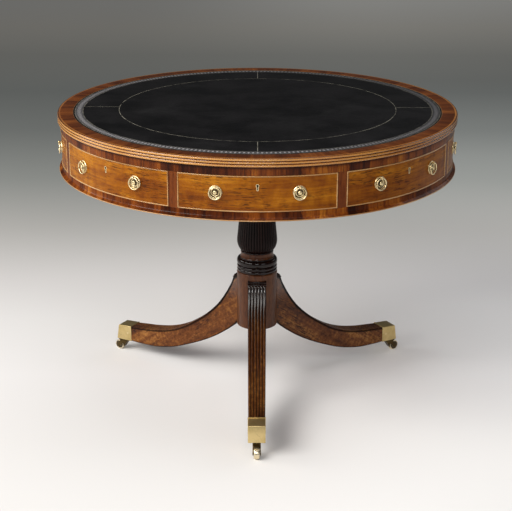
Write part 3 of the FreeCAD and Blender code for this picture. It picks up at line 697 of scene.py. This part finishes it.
# Drum: upper and lower boards, and the thin bead and the cove round the foot
drumFacts = inMetres(
    {"steps": 256},
    radius=490.2, top=730.0, openingTop=709.8, openingFoot=627.1, foot=607.6, ease=0.5, bushRadius=17.06,
    beadHigh=2.6, beadProud=7.4, coveHigh=9.0, coveEdge=0.4, coveLip=0.6, coveBow=-0.9, covered=0.3,
    coveIn=0.1,
)


def makeDrum():
    steps, outer, ease, low, top, bush = pick(drumFacts, "steps radius ease foot top bushRadius")
    openTop, openFoot, high, proud = pick(drumFacts, "openingTop openingFoot beadHigh beadProud")
    coveHigh, coveEdge, lip, reach = pick(drumFacts, "coveHigh coveEdge coveLip coveBow")
    rows = [(0.0, openTop), (outer, openTop, ease), (outer, top), (0.0, top)]
    piece("upperRail", lathe(rows, steps), crossWood, "carcase_top")
    rows = [(bush, low), (outer, low), (outer, openFoot, ease), (bush, openFoot)]
    piece("lowerRail", lathe(rows, steps, True), crossWood, "carcase_bottom")
    proud, inside = proud - high / 2, outer - mm
    rows = swell((outer + proud, low), (outer + proud, low + high), high / 2, 8)
    rows = [(inside, low), *rows, (inside, low + high)]
    piece("footBead", lathe(rows, steps, True), beadWood, "base_bead")
    edge, base, crown = outer + proud + coveEdge, low + high - drumFacts["covered"], low + coveHigh
    rows = bow((edge, low + high + lip), (outer + drumFacts["coveIn"], crown), reach)
    rows = [(inside, base), (edge, base), *rows, (inside, crown)]
    piece("footCove", lathe(rows, steps, True), crossWood, "base_bead")


# Bearer and column. Column rows are shares of its radius and of its height; a moulding is a row for
# each end, how far it swells, and its steps. Bearer rows start from its outer edge
columnFacts = inMetres(
    {
        "steps": 128, "crease": 60.0, "reeds": 44, "samples": 8, "reedDeep": 0.036,
        "blockTop": 0.361, "shoulder": (0.955, 0.366), "core": ((0.66, 0.504), (0.66, 0.914)),
        "rings": (
            ((0.950, 0.368), (0.950, 0.3875), 2.2, 7), ((0.945, 0.3885), (0.940, 0.409), 2.5, 7),
            ((0.925, 0.4105), (0.905, 0.4525), 4.5, 9),
        ),
        "fillet": ((0.862, 0.4535), (0.862, 0.4590)), "neckCore": ((0.780, 0.4592), (0.780, 0.4920)),
        "vaseFoot": (((0.780, 0.4925), (0.765, 0.5020), 1.9, 7),),
        "collar": (((0.700, 0.926), (0.740, 0.944), 2.9, 7),),
        "flare": ((0.735, 0.947), (0.860, 0.972), -1.6), "crown": (((0.880, 0.976), (0.880, 0.998), 3.0, 7),),
        "neckFoot": ((0.770, 0.4592), (0.838, 0.4592)), "neckTop": ((0.815, 0.4928), (0.770, 0.4928)),
        "neckBow": ((0.826, 0.4620), (0.806, 0.4905), -0.8),
        "vase": (
            (0.5020, 0.770), (0.5025, 0.800), (0.5060, 0.832), (0.513, 0.868), (0.523, 0.915), (0.534, 0.948),
            (0.547, 0.976), (0.561, 0.990), (0.576, 0.990), (0.600, 0.972), (0.640, 0.942), (0.690, 0.906),
            (0.750, 0.866), (0.810, 0.826), (0.870, 0.782), (0.910, 0.745), (0.922, 0.720), (0.928, 0.690),
        ),
    },
    foot=169.0, tall=409.6, radius=52.5, sharp=0.5, soft=1.2, bearerRadius=140.0, bearerFoot=578.6,
    bearerTop=607.6, socketRadius=24.0, bearerEase=1.0, footIn=12.0, stepIn=11.0, stepHigh=4.0,
    swellIn=8.0, swellFoot=6.0, swellTop=4.0, topIn=9.0,
)


def makeColumn():
    facts, steps = columnFacts, columnFacts["steps"]

    def at(share, height):
        return share * facts["radius"], facts["foot"] + height * facts["tall"]

    def mouldings(name):
        rows = []
        for start, end, reach, count in facts[name]:
            rows += swell(at(*start), at(*end), reach * mm, count)
        return rows

    def curve(name):
        start, end, reach = facts[name]
        return bow(at(*start), at(*end), reach * mm)

    def corners(name, *ease):
        return [(*at(*row), *ease) for row in facts[name]]

    shoulder, soft = facts["shoulder"], facts["soft"]
    rows = [at(0.0, 0.0), (*at(1.0, 0.0), soft), (*at(1.0, facts["blockTop"]), soft)]
    rows += [at(*shoulder), at(0.0, shoulder[1])]
    piece("columnBlock", lathe(rows, steps), blockWood, "column")
    rows = [at(0.0, shoulder[1]), at(*shoulder)] + mouldings("rings") + corners("fillet", facts["sharp"])
    rows += corners("neckCore") + mouldings("vaseFoot") + corners("core")
    rows += mouldings("collar") + curve("flare") + mouldings("crown") + [at(0.0, 1.0)]
    piece("columnShaft", lathe(rows, steps), columnWood, "column")
    rows = corners("neckFoot") + curve("neckBow") + corners("neckTop")
    piece("columnNeck", lathe(rows, steps, True), blockWood, "column")

    samples = facts["samples"]
    count = facts["reeds"] * samples
    deeps = [reedDeep((index % samples) / samples) for index in range(count)]
    stations = [between(facts["vase"], step / 2) for step in range(len(facts["vase"]) * 2 - 1)]

    def corner(index, station):
        height, share = station
        reach = share * facts["radius"] * (1.0 - facts["reedDeep"] * deeps[index])
        turn = math.tau * index / count
        return reach * math.cos(turn), reach * math.sin(turn), at(0.0, height)[1]

    bm = swept(count, corner, stations, deeps)
    piece("reededVase", bm, vaseWood, "column", facts["crease"])

    outer, ease, low, high = pick(facts, "bearerRadius bearerEase bearerFoot bearerTop")
    socket, footIn, stepIn, stepHigh = pick(facts, "socketRadius footIn stepIn stepHigh")
    reach, foot, top, topIn = pick(facts, "swellIn swellFoot swellTop topIn")
    rows = [(socket, low), (outer - footIn, low, ease), (outer - stepIn, low + stepHigh, ease)]
    rows += swell((outer - reach, low + foot), (outer - reach, high - top), reach, 9)
    rows += [(outer - topIn, high), (socket, high)]
    piece("bearerBlock", lathe(rows, steps, True), columnWood, "bearer")


# Legs: sabre-shaped, six reeds along the top edge, and two thin bars across their upper ends. Stations
# are shares of reach and height for the top edge, then for the under edge
legFacts = inMetres(
    {
        "crease": 50.0, "reeds": 6, "samples": 8, "reedDark": 0.42, "bars": (303.4 * mm, 297.9 * mm),
        "easeTurns": (0.0, 30.0, 60.0, 90.0), "sideShares": (0.04, 0.10, 0.5, 0.93, 0.975),
        "darkShares": (0.05, 0.95), "barSides": 20,
        "stations": (
            (0.095, 1.012, 0.095, 0.575), (0.137, 0.990, 0.119, 0.551), (0.166, 0.905, 0.143, 0.519),
            (0.214, 0.794, 0.178, 0.480), (0.275, 0.683, 0.224, 0.436), (0.359, 0.575, 0.293, 0.376),
            (0.458, 0.477, 0.384, 0.310), (0.573, 0.384, 0.504, 0.239), (0.692, 0.324, 0.641, 0.172),
            (0.819, 0.291, 0.794, 0.132), (0.930, 0.277, 0.920, 0.127), (1.0, 0.2690, 1.0, 0.1300),
            (1.008, 0.2685, 1.008, 0.1300),
        ),
        "places": (0.0, 0.5, 1.0, 1.2, 1.26, 1.28, 1.30, 1.32, 1.35, 1.38, 1.45, 1.6, 1.8),
    },
    reach=393.0, top=306.0, wideTop=47.6, wideToe=41.0, reedDeep=2.6, reedStart=295.0, reedRise=2.0, ease=1.6,
    barRadius=2.6, barOver=1.2, barEase=0.8,
)


def legSection():
    # rows of share across, how far in from there, share of the way down, reed depth, how far up from there
    facts = legFacts
    reeds, samples, ease = facts["reeds"], facts["samples"], facts["ease"]
    rows = []
    for index in range(reeds * samples + 1):
        deep = reedDeep((index % samples) / samples)
        rows.append((index / (reeds * samples) - 0.5, 0.0, 0.0, deep, 0.0))
    for side in (1, -1):
        half = [(0.5 * side, 0.0, share, 1.0 - share, 0.0) for share in facts["sideShares"]]
        for turn in facts["easeTurns"]:
            inward = ease * (1.0 - math.cos(math.radians(turn)))
            half.append((0.5 * side, -inward * side, 1.0, 0.0, ease * (1.0 - math.sin(math.radians(turn)))))
        rows += half[::side]
    return rows


def legPoint(row, station):
    reach, top, start, rise, groove = pick(legFacts, "reach top reedStart reedRise reedDeep")
    wideTop, wideToe, rough = pick(legFacts, "wideTop wideToe stations")
    across, inward, down, deep, upward = row
    outTop, highTop, outUnder, highUnder = station
    crest = Vector((outTop * reach, 0.0, highTop * top))
    under = Vector((outUnder * reach, 0.0, highUnder * top))
    up = (crest - under).normalized()
    begun = min(1.0, max(0.0, (start - crest.z) / rise))
    reeded = math.sqrt(begun * (2.0 - begun))
    sunk = groove * (1.0 - (1.0 - deep) * reeded)
    share = (outTop - rough[0][0]) / (1.0 - rough[0][0])
    wide = wideTop + (wideToe - wideTop) * share
    point = crest.lerp(under, down) - up * (sunk * (1.0 - down)) + up * upward
    point.y = wide * across + inward
    return point


def makeLegs():
    facts = legFacts
    section, rough, dark = legSection(), facts["stations"], facts["reedDark"]
    places = [*facts["places"], *[step / 5 for step in range(10, 5 * (len(rough) - 1) + 1)]]
    stations = [between(rough, place) for place in places]
    # painted shade, partly old polish: darker between the reeds, a little darker over the whole reeded top,
    # and thin dark lines along the long edges
    above, below = facts["darkShares"]
    deeps = [
        dark + (1.0 - dark) * row[3] if row[2] == 0.0 else float(row[2] < above or row[2] > below)
        for row in section
    ]
    for name, angle in legAngles.items():
        bm = swept(len(section), lambda index, station: legPoint(section[index], station), stations, deeps)
        bm = turned(bm, angle)
        piece("sabreLeg_" + name, bm, legWoods[name], "leg_" + name, facts["crease"])
        bars = []
        for height in facts["bars"]:
            place = 0.0
            while between(rough, place)[1] * facts["top"] > height:
                place += 0.01
            low = legPoint((0.0, 0.0, 0.0, 1.0, 0.0), between(rough, place))
            bar = rod(facts["barRadius"], facts["wideTop"] + facts["barOver"], facts["barSides"])
            ends = [edge for edge in bar.edges if abs(edge.verts[0].co.z - edge.verts[1].co.z) < mm]
            eased(bar, facts["barEase"], 2, ends)
            bars.append(moved(turned(bar, 90, "X"), low.x, 0.0, low.z))
        piece("legBars_" + name, turned(joined(bars), angle), columnWood, "leg_" + name)


# Brass caps on the toes, and the castors. Horn rows are millimetres from the axle; wheel rows are
# radius, how far in from the wheel's side, and ease
castorFacts = inMetres(
    {
        "crease": 40.0, "horn": ((4.6, 3.6), (5.4, 0.0), (4.2, -3.8), (0.8, -5.3), (-2.8, -4.8), (-8.0, 1.6)),
        "web": (195.0, 180.0, 165.0, 150.0, 135.0, 120.0, 105.0, 92.0), "sides": 56,
        "wheel": (
            (2.66, 0.0, 0.3), (5.2, 0.0, 0.3), (6.0, 1.2, 0.4), (10.4, 1.4, 0.4), (11.2, 0.0, 0.4),
            (12.2, 0.0, 0.4),
        ),
    },
    capIn=393.0, capOut=441.0, capLean=6.0, capFoot=39.0, capTop=83.0, capFall=2.5, capWide=42.0, capEase=1.1,
    lipWide=2.4, lipProud=0.7, lipIn=0.2, lipEase=0.6, screwOut=405.0, screwHigh=61.0, screwRadius=3.4,
    stem=425.0, stemRadius=4.2, stemTop=60.5, axle=445.0, axleRadius=2.6, axleHalf=9.0, collarTop=38.5,
    collarFoot=34.5, collarRadius=10.0, collarEase=0.6, collarIn=1.5, collarLip=0.6, crownFoot=30.9,
    crownIn=0.15, hornEase=0.7, hornDrop=0.8, neckOut=2.0, neckDrop=7.0, heelIn=3.0, heelDrop=3.5,
    cheekIn=7.3, cheekOut=9.9, bossRadius=3.6, bossIn=2.0, bossOut=0.5, bossEase=0.4, bossSunk=0.6,
    webGap=1.3, webOver=0.4, webHeel=0.6, webFront=0.5, wheelRadius=14.0, wheelWide=13.4, tyreEase=0.8,
    tyreIn=1.2, hollowInner=4.0, hollowOuter=11.6, hollowIn=0.2,
)


def plank(outline, half):
    # a flat outline in x and z, given a width each side of the middle
    bm = bmesh.new()
    pushed(bm, [bm.faces.new([bm.verts.new((x, -half, z)) for x, z in outline])], 2 * half)
    return bm


def pushed(bm, faces, deep):
    grown = bmesh.ops.extrude_face_region(bm, geom=faces)["geom"]
    bmesh.ops.translate(bm, verts=only(grown, bmesh.types.BMVert), vec=(0.0, deep, 0.0))


def screwHead(radius):
    # a low round head that faces along +Z
    return pin(radius, -1.0 * mm, 0.3 * mm, 0.2 * mm, dome=0.45 * mm)


def makeCap(name, angle):
    facts = castorFacts
    near, far, low, high = pick(facts, "capIn capOut capFoot capTop")
    lean, fall, wide, ease = pick(facts, "capLean capFall capWide capEase")
    out, lip, proud, lipEase = pick(facts, "lipIn lipWide lipProud lipEase")
    outline = [(near, low), (far, low), (far - lean, high - fall), (near, high)]
    bm = eased(plank(outline, wide / 2), ease)
    half = wide / 2 + proud
    lip = board(near - out, near + lip, -half, half, low + mm, high + proud, lipEase)
    bm = turned(joined([bm, lip]), angle)
    piece("toeCap_" + name, bm, capBrass, "toe_caps", facts["crease"])
    heads = []
    for side in (1, -1):
        head = turned(screwHead(facts["screwRadius"]), -90 * side, "X")
        heads.append(moved(head, facts["screwOut"], wide / 2 * side, facts["screwHigh"]))
    piece("capScrews_" + name, turned(joined(heads), angle), castBrass, "toe_cap_screws")


def makeCastor(name, angle):
    facts = castorFacts
    stem, axle, hub, rim = pick(facts, "stem axle wheelRadius collarRadius")
    low, high, top = pick(facts, "crownFoot collarFoot collarTop")
    inner, outer, ease, lip = pick(facts, "cheekIn cheekOut collarEase collarLip")
    rows = [(0.0, high - mm), (rim - facts["collarIn"], high - mm), (rim, high + lip, ease)]
    collar = moved(lathe([*rows, (rim, top, ease), (0.0, top)], 40), stem, 0.0, 0.0)
    post = moved(pin(facts["stemRadius"], top - mm, facts["stemTop"]), stem, 0.0, 0.0)
    near, far = stem - rim + facts["crownIn"], stem + rim - facts["crownIn"]
    crown = plank([(near, low), (far, low), (far, high), (near, high)], outer - facts["crownIn"])
    parts = [collar, post, eased(crown, facts["hornEase"], 2)]
    drop, neckOut, neckDrop, heelIn, heelDrop = pick(facts, "hornDrop neckOut neckDrop heelIn heelDrop")
    outline = [
        (stem - rim, high), (stem + rim * 0.7, high), (stem + rim, high - drop),
        *[(axle + x, hub + z) for x, z in scaled(facts["horn"])],
        (stem + neckOut, low - neckDrop), (stem - rim + heelIn, low - heelDrop), (stem - rim, low),
    ]
    # the horn's back follows the wheel a little way off
    clear = hub + facts["webGap"]
    turns = [math.radians(turn) for turn in facts["web"]]
    web = [(axle + clear * math.cos(turn), hub + clear * math.sin(turn)) for turn in turns]
    web = [(stem - rim + facts["webHeel"], low + mm), *web, (axle + facts["webFront"], low + mm)]
    parts.append(plank(web, inner + facts["webOver"]))
    half = (outer - inner) / 2
    radius, bossIn, bossOut, bossEase, sunk = pick(facts, "bossRadius bossIn bossOut bossEase bossSunk")
    for side in (1, -1):
        cheek = eased(plank(outline, half), facts["hornEase"], 2)
        parts.append(moved(cheek, 0.0, (inner + half) * side, 0.0))
        boss = turned(pin(radius, -bossIn, bossOut, bossEase, dome=mm), -90 * side, "X")
        parts.append(moved(boss, axle, outer * side - sunk * side, hub))
    shaft = turned(pin(facts["axleRadius"], -facts["axleHalf"], facts["axleHalf"]), 90, "X")
    bm = turned(joined([*parts, moved(shaft, axle, 0.0, hub)]), angle)
    piece("castorFork_" + name, bm, darkBrass, f"castor_{name}_fork", facts["crease"])

    half, tyre = facts["wheelWide"] / 2, hub - facts["tyreEase"]
    rows = [(reach, inward - half, ease) for reach, inward, ease in scaled(facts["wheel"])]
    side = half - facts["tyreIn"]
    tread = bow((tyre, -side), (tyre, side), facts["tyreEase"])
    bm = lathe(rows + tread + [(x, -z, ease) for x, z, ease in rows[::-1]], facts["sides"], True)
    darkened(bm, [(facts["hollowInner"], facts["hollowOuter"], half - facts["hollowIn"])])
    bm = turned(moved(turned(bm, 90, "X"), axle, 0.0, hub), angle)
    piece("castorWheel_" + name, bm, wheelBrass, f"castor_{name}_wheel", facts["crease"])


# Fronts: bowed boards with a cockbead round each, drawn flat and then bent round the drum
frontFacts = inMetres(
    {
        "slices": 44, "crease": 40.0,
        "panels": {
            "drawer_front": 0, "drawer_right": 90, "drawer_back": 180, "drawer_left": 270,
            "dummy_front_right": 45, "dummy_back_right": 135, "dummy_back_left": 225, "dummy_front_left": 315,
        },
    },
    faceRadius=489.5, halfWide=181.15, foot=627.5, top=709.4, thick=22.0, beadWide=2.6, beadDeep=8.0,
    beadProud=1.5, beadEase=1.1,
)
keyholeFacts = inMetres(
    {"points": 9},
    high=687.5, radius=2.6, slotHalf=1.1, drop=9.5, wall=1.2, deep=8.0, proud=0.4, cutOut=5.0,
    darkIn=4.5, darkThick=3.0, darkOver=0.3,
)


def brassNode(name):
    return name + "_brassware" if name.startswith("drawer") else "dummy_brassware"


def bent(bm, degrees, slices=0):
    # cut at even steps across the width if wanted, then bent round the drum
    facts = frontFacts
    for index in range(1, slices):
        place = facts["halfWide"] * (2.0 * index / slices - 1.0)
        geom = bm.verts[:] + bm.edges[:] + bm.faces[:]
        bmesh.ops.bisect_plane(bm, geom=geom, dist=0.001 * mm, plane_co=(place, 0, 0), plane_no=(1, 0, 0))
    for vert in bm.verts:
        angle = vert.co.x / facts["faceRadius"] + math.radians(degrees)
        reach = -vert.co.y
        vert.co.x = reach * math.sin(angle)
        vert.co.y = -reach * math.cos(angle)
    return bm


def keyholeLine(bm, grow, y):
    # the outline of a keyhole: a round above a slot
    facts = keyholeFacts
    radius, half = facts["radius"] + grow, facts["slotHalf"] + grow
    high, points = facts["high"], facts["points"]
    start = math.asin(half / radius)
    spots = []
    for index in range(points * 2):
        turn = start + (math.tau - 2 * start) * index / (points * 2 - 1)
        spots.append((radius * math.sin(turn), high - radius * math.cos(turn)))
    for index in range(points):
        turn = math.pi * index / (points - 1)
        spots.append((-half * math.cos(turn), high - facts["drop"] - half * math.sin(turn)))
    verts = [bm.verts.new((x, y, z)) for x, z in spots]
    return [bm.edges.new(pair) for pair in zip(verts, verts[1:] + verts[:1])]


def keyholeBlock(grow, y, deep):
    bm = bmesh.new()
    bmesh.ops.contextual_create(bm, geom=keyholeLine(bm, grow, y))
    pushed(bm, bm.faces[:], deep)
    bmesh.ops.recalc_face_normals(bm, faces=bm.faces)
    return bm


def holed(bm, cutter):
    # one mesh with the shape of another taken out of it
    holders = []
    for name, source in (("blank", bm), ("cutter", cutter)):
        bmesh.ops.recalc_face_normals(source, faces=source.faces)
        holders.append(shown(name, meshOf(name, source)))
    work = holders[0].modifiers.new("cut", "BOOLEAN")
    work.operation = "DIFFERENCE"
    work.object = holders[1]
    work.solver = "EXACT"
    bpy.context.view_layer.update()
    cut = bpy.data.meshes.new_from_object(holders[0].evaluated_get(bpy.context.evaluated_depsgraph_get()))
    for holder in holders:
        mesh = holder.data
        bpy.data.objects.remove(holder)
        bpy.data.meshes.remove(mesh)
    result = bmesh.new()
    result.from_mesh(cut)
    bpy.data.meshes.remove(cut)
    return result


def frontBlank():
    facts = frontFacts
    face, half, deep = pick(facts, "faceRadius halfWide beadDeep")
    bm = board(-half, half, deep - face, facts["thick"] - face, facts["foot"], facts["top"])
    front = min(bm.faces, key=lambda item: item.calc_center_median().y)
    bmesh.ops.inset_region(bm, faces=[front], thickness=facts["beadWide"], use_even_offset=True)
    pushed(bm, [front], -deep)
    bmesh.ops.delete(bm, geom=[front], context="FACES_ONLY")
    return bm


def cockbead():
    facts = frontFacts
    face, half, deep = pick(facts, "faceRadius halfWide beadDeep")
    bm = board(-half, half, -face, deep - face, facts["foot"], facts["top"])
    back = max(bm.faces, key=lambda item: item.calc_center_median().y)
    bmesh.ops.delete(bm, geom=[item for item in bm.faces if item != back], context="FACES")
    back = bm.faces[:]
    bmesh.ops.inset_region(
        bm, faces=back, thickness=facts["beadWide"], use_boundary=True, use_even_offset=True,
    )
    bmesh.ops.delete(bm, geom=back, context="FACES")
    pushed(bm, bm.faces[:], -deep - facts["beadProud"])
    nose = [edge for edge in bm.edges if max(vert.co.y for vert in edge.verts) < -face - mm]
    nose = [edge for edge in nose if len(edge.link_faces) == 2 and edge.calc_face_angle(0.0) > 1.0]
    return eased(bm, facts["beadEase"], 4, nose)


def makeFronts():
    facts, hole = frontFacts, keyholeFacts
    face, slices, crease = pick(facts, "faceRadius slices crease")
    for name, angle in facts["panels"].items():
        node = name + "_front" if name.startswith("drawer") else "dummy_fronts"
        cutter = keyholeBlock(hole["wall"], -face - hole["cutOut"], hole["deep"] + hole["cutOut"])
        front = bent(holed(frontBlank(), cutter), angle, slices)
        piece("front_" + name, front, panelWood, node)
        piece("cockbead_" + name, bent(cockbead(), angle, slices), beadWood, node, crease)
        lining = bmesh.new()
        edges = keyholeLine(lining, 0.0, -face - hole["proud"])
        edges += keyholeLine(lining, hole["wall"], -face - hole["proud"])
        bmesh.ops.bridge_loops(lining, edges=edges)
        pushed(lining, lining.faces[:], hole["deep"])
        piece("keyholeLining_" + name, bent(lining, angle), polishedBrass, brassNode(name))
        # a dark block at the bottom of each keyhole: painted shade, standing in for the shade inside the lock
        dark = keyholeBlock(hole["darkOver"], hole["darkIn"] - face, hole["darkThick"])
        piece("keyholeShadeBlock_" + name, bent(dark, angle), shadeInKeyholes, node)


# Handles: a moulded backplate with a knob, an eye on a short post, and a ring that hangs in it. Plate
# rows are radius, how far it stands out, and ease; hollows are two radii and a height
handleFacts = inMetres(
    {
        "angle": 10.9, "ringSides": 12, "crease": 40.0, "ringCrease": 60.0, "eyeLong": 1.7,
        "plate": (
            (0.0, 0.0), (15.5, 0.0), (15.5, 1.2, 0.5), (14.3, 2.3, 0.6), (12.9, 1.9, 0.5), (12.3, 1.1, 0.3),
            (10.6, 1.1, 0.3), (10.1, 2.6, 0.4), (9.0, 3.6, 0.6), (7.9, 3.1, 0.5), (6.8, 1.9, 0.5),
            (2.7, 2.0, 0.4), (2.8, 4.0, 0.4), (4.4, 4.6, 0.4), (4.9, 5.7, 0.5), (3.9, 7.2, 0.6), (0.0, 7.9),
        ),
        "hollows": ((9.8, 12.9, 1.9), (2.4, 7.6, 2.8)),
    },
    high=670.8, ringDrop=1.5, ringRadius=13.6, ringWire=1.45, standOff=6.2, eyeRadius=2.55, eyeWire=0.92,
    postIn=0.8, postWide=2.0, postThin=1.5, postOver=0.3,
)


def makeHandles():
    facts = handleFacts
    stand, eyeRadius, radius, high = pick(facts, "standOff eyeRadius ringRadius high")
    face = -frontFacts["faceRadius"]
    hinge = high - facts["ringDrop"] + radius * math.cos(math.pi / facts["ringSides"])
    rows, hollows = scaled(facts["plate"]), scaled(facts["hollows"])
    foot, tip = facts["postIn"], stand - eyeRadius + facts["postOver"]
    post = [(0.0, foot), (facts["postWide"], foot), (facts["postThin"], tip), (0.0, tip)]
    for name, panel in frontFacts["panels"].items():
        plates = []
        for label, side in (("a", -1), ("b", 1)):
            angle = panel + facts["angle"] * side
            plate = lathe(rows, 48)
            darkened(plate, hollows)
            eye = torus(eyeRadius, facts["eyeWire"], 20, 10)
            bmesh.ops.scale(eye, verts=eye.verts, vec=(1.0, 1.0, facts["eyeLong"]))
            plates.append(turned(joined([
                moved(turned(plate, 90, "X"), 0.0, face, high),
                moved(turned(eye, 90, "Y"), 0.0, face - stand, hinge),
                moved(turned(lathe(post, 20), 90, "X"), 0.0, face, hinge),
            ]), angle))
            ring = turned(torus(radius, facts["ringWire"], 56, 14), 90, "X")
            ring = turned(moved(ring, 0.0, face - stand, hinge - radius), angle)
            stands = f"{name}_ring_{label}"
            piece(f"ringPull_{name}_{label}", ring, polishedBrass, stands, facts["ringCrease"])
        piece("backplates_" + name, joined(plates), plateBrass, brassNode(name), facts["crease"])


# Locks: a case let into the back of each drawer's front, with its bolt drawn down, and the nuts behind
# each handle
lockFacts = inMetres(
    {"screws": (21.0 * mm, 5.0 * mm)},
    half=26.0, top=706.8, high=34.0, thick=9.0, proud=1.0, ease=0.5, gap=0.3, backRadius=467.5, boltHalf=8.0,
    boltThick=4.0, boltHigh=6.0, boltEase=0.4, screwRadius=2.6, screwIn=0.1,
    nutRadius=5.2, nutThick=3.0, nutEase=0.3, postRadius=2.4, postOut=3.2, postEase=0.5,
)


def makeLocks():
    facts = lockFacts
    nutRadius, nutThick, nutEase = pick(facts, "nutRadius nutThick nutEase")
    thick, proud, ease, gap = pick(facts, "thick proud ease gap")
    bolt, boltThick, boltHigh, boltEase = pick(facts, "boltHalf boltThick boltHigh boltEase")
    half, top, back = facts["half"], facts["top"], -facts["backRadius"]
    low, inner, middle, thin = top - facts["high"], back + proud, back - thick / 2, boltThick / 2
    out, rise = facts["screws"]
    for name, panel in frontFacts["panels"].items():
        nuts = []
        for side in (-1, 1):
            nut = eased(rod(nutRadius, nutThick, 6), nutEase, 2)
            end = pin(facts["postRadius"], 0.0, facts["postOut"], facts["postEase"], steps=20)
            whole = turned(joined([nut, end]), -90, "X")
            moved(whole, 0.0, back + nutThick / 2, handleFacts["high"])
            nuts.append(turned(whole, panel + handleFacts["angle"] * side))
        piece("handleNuts_" + name, joined(nuts), castBrass, brassNode(name))
        if not name.startswith("drawer"):
            continue
        parts = [
            board(-half, half, back - thick, inner, low, top - gap, ease),
            board(-bolt, bolt, middle - thin, middle + thin, top - boltHigh, top, boltEase),
        ]
        for x in (-out, out):
            for z in (low + rise, top - rise):
                head = turned(screwHead(facts["screwRadius"]), -90, "X")
                parts.append(moved(head, x, inner - facts["screwIn"], z))
        piece("lock_" + name, turned(joined(parts), panel), castBrass, brassNode(name))


makeTop()
makeDrum()
makeColumn()
makeLegs()
for name, angle in legAngles.items():
    makeCap(name, angle)
    makeCastor(name, angle)
print("top, drum, column and legs made")
makeFronts()
makeHandles()
makeLocks()
print("fronts and brassware made")


# Stage, lights and camera. The floor is painted with light and shade: tones go from the front of the floor to
# its back, and right says how much lighter its right side is painted, as a share of the right-side gain
floorFacts = {
    "half": 14.0, "front": -1.0, "back": 7.0, "rough": 0.75, "shine": 0.2, "sides": (-1.0, 0.95),
    "tones": (
        (0.0, tone(212, 211, 210)), (0.08, tone(218, 217, 216)), (0.13, tone(226, 225, 225)),
        (0.18, tone(219, 218, 217)), (0.223, tone(208, 206, 205)), (0.287, tone(184, 183, 180)),
        (0.368, tone(157, 160, 157)), (0.473, tone(138, 142, 140)), (0.575, tone(140, 144, 142)),
        (0.70, tone(174, 175, 170)), (0.82, tone(220, 218, 210)), (0.97, tone(255, 255, 250)),
    ),
    "right": (
        (0.0, 0.75), (0.10, 0.77), (0.13, 0.80), (0.195, 0.90), (0.30, 0.86), (0.417, 0.94), (0.50, 0.86),
        (0.612, 0.68), (0.75, 0.76), (0.95, 0.90),
    ),
    "rightLightGain": 1.7,
}


def makeFloor():
    facts = floorFacts
    f = Finish("paleFloor", Roughness=facts["rough"], Specular_IOR_Level=facts["shine"])
    x, y, z = f.axes()
    away = (y - facts["front"]) / (facts["back"] - facts["front"])
    bm = bmesh.new()
    bmesh.ops.create_circle(bm, cap_ends=True, segments=64, radius=facts["half"])
    floor = shown("floor", meshOf("floor", bm))
    colour = f.ramp(away, facts["tones"])
    # painted light: the right side of the floor is painted lighter
    gain = f.ramp(away, [(place, (grey, grey, grey)) for place, grey in facts["right"]]) * facts["rightLightGain"]
    paintedLighter = f.node("ShaderNodeVectorMath", {"operation": "SCALE"}, {0: colour, "Scale": gain})
    floor.data.materials.append(f.wear(Base_Color=f.mix(f.step(x, *facts["sides"]), colour, paintedLighter)))


# place, width, depth, watts and tint
lamps = {
    "keyLamp": ((-3.1, -2.2, 3.0), 3.4, 1.9, 232.0, (1.0, 0.97, 0.93)),
    "sideLamp": ((-3.7, 0.7, 2.1), 1.8, 1.8, 42.0, (1.0, 0.98, 0.95)),
    "fillLamp": ((2.6, -3.6, 1.9), 1.8, 1.8, 13.0, (0.95, 0.97, 1.0)),
    "backLamp": ((2.9, 1.9, 2.6), 2.2, 2.2, 23.0, (0.98, 0.98, 1.0)),
    "topLamp": ((0.2, -0.4, 3.4), 2.0, 2.0, 24.0, (0.97, 0.98, 1.0)),
    "stripLamp": ((-0.6, -3.3, 2.9), 3.4, 0.5, 34.0, (1.0, 0.98, 0.95)),
    "windowLamp": ((-0.1, -3.5, 1.95), 1.1, 0.35, 17.0, (1.0, 0.99, 0.97)),
}
lampAim = Vector((0.0, 0.0, 0.45))
skyFacts = {"tint": (0.80, 0.82, 0.85, 1.0), "strength": 0.07}


def makeLamps():
    for name, (place, wide, deep, watts, tint) in lamps.items():
        data = bpy.data.lights.new(name, "AREA")
        data.shape = "RECTANGLE"
        data.size, data.size_y, data.energy, data.color = wide, deep, watts, tint
        lamp = shown(name, data)
        lamp.location = place
        lamp.rotation_euler = (lampAim - Vector(place)).to_track_quat("-Z", "Y").to_euler()
    world = bpy.data.worlds.new("studio")
    world.use_nodes = True
    back = world.node_tree.nodes["Background"]
    back.inputs["Color"].default_value = skyFacts["tint"]
    back.inputs["Strength"].default_value = skyFacts["strength"]
    bpy.context.scene.world = world


cameraFacts = {
    "at": (-0.0029, -3.3387, 1.5205), "pitch": 19.224, "roll": 0.158, "focalPixels": 1360.3,
    "framePixels": 512, "sensor": 36.0,
}


def makeCamera():
    facts = cameraFacts
    data = bpy.data.cameras.new("camera")
    data.sensor_width = facts["sensor"]
    data.lens = facts["sensor"] * facts["focalPixels"] / facts["framePixels"]
    camera = shown("camera", data)
    tilt = Matrix.Rotation(math.radians(90.0 - facts["pitch"]), 4, "X")
    roll = Matrix.Rotation(math.radians(facts["roll"]), 4, "Z")
    camera.matrix_world = Matrix.Translation(facts["at"]) @ tilt @ roll
    bpy.context.scene.camera = camera


makeFloor()
makeLamps()
makeCamera()
bpy.context.scene.view_settings.view_transform = "Standard"
print("stage ready")

bpy.context.view_layer.update()
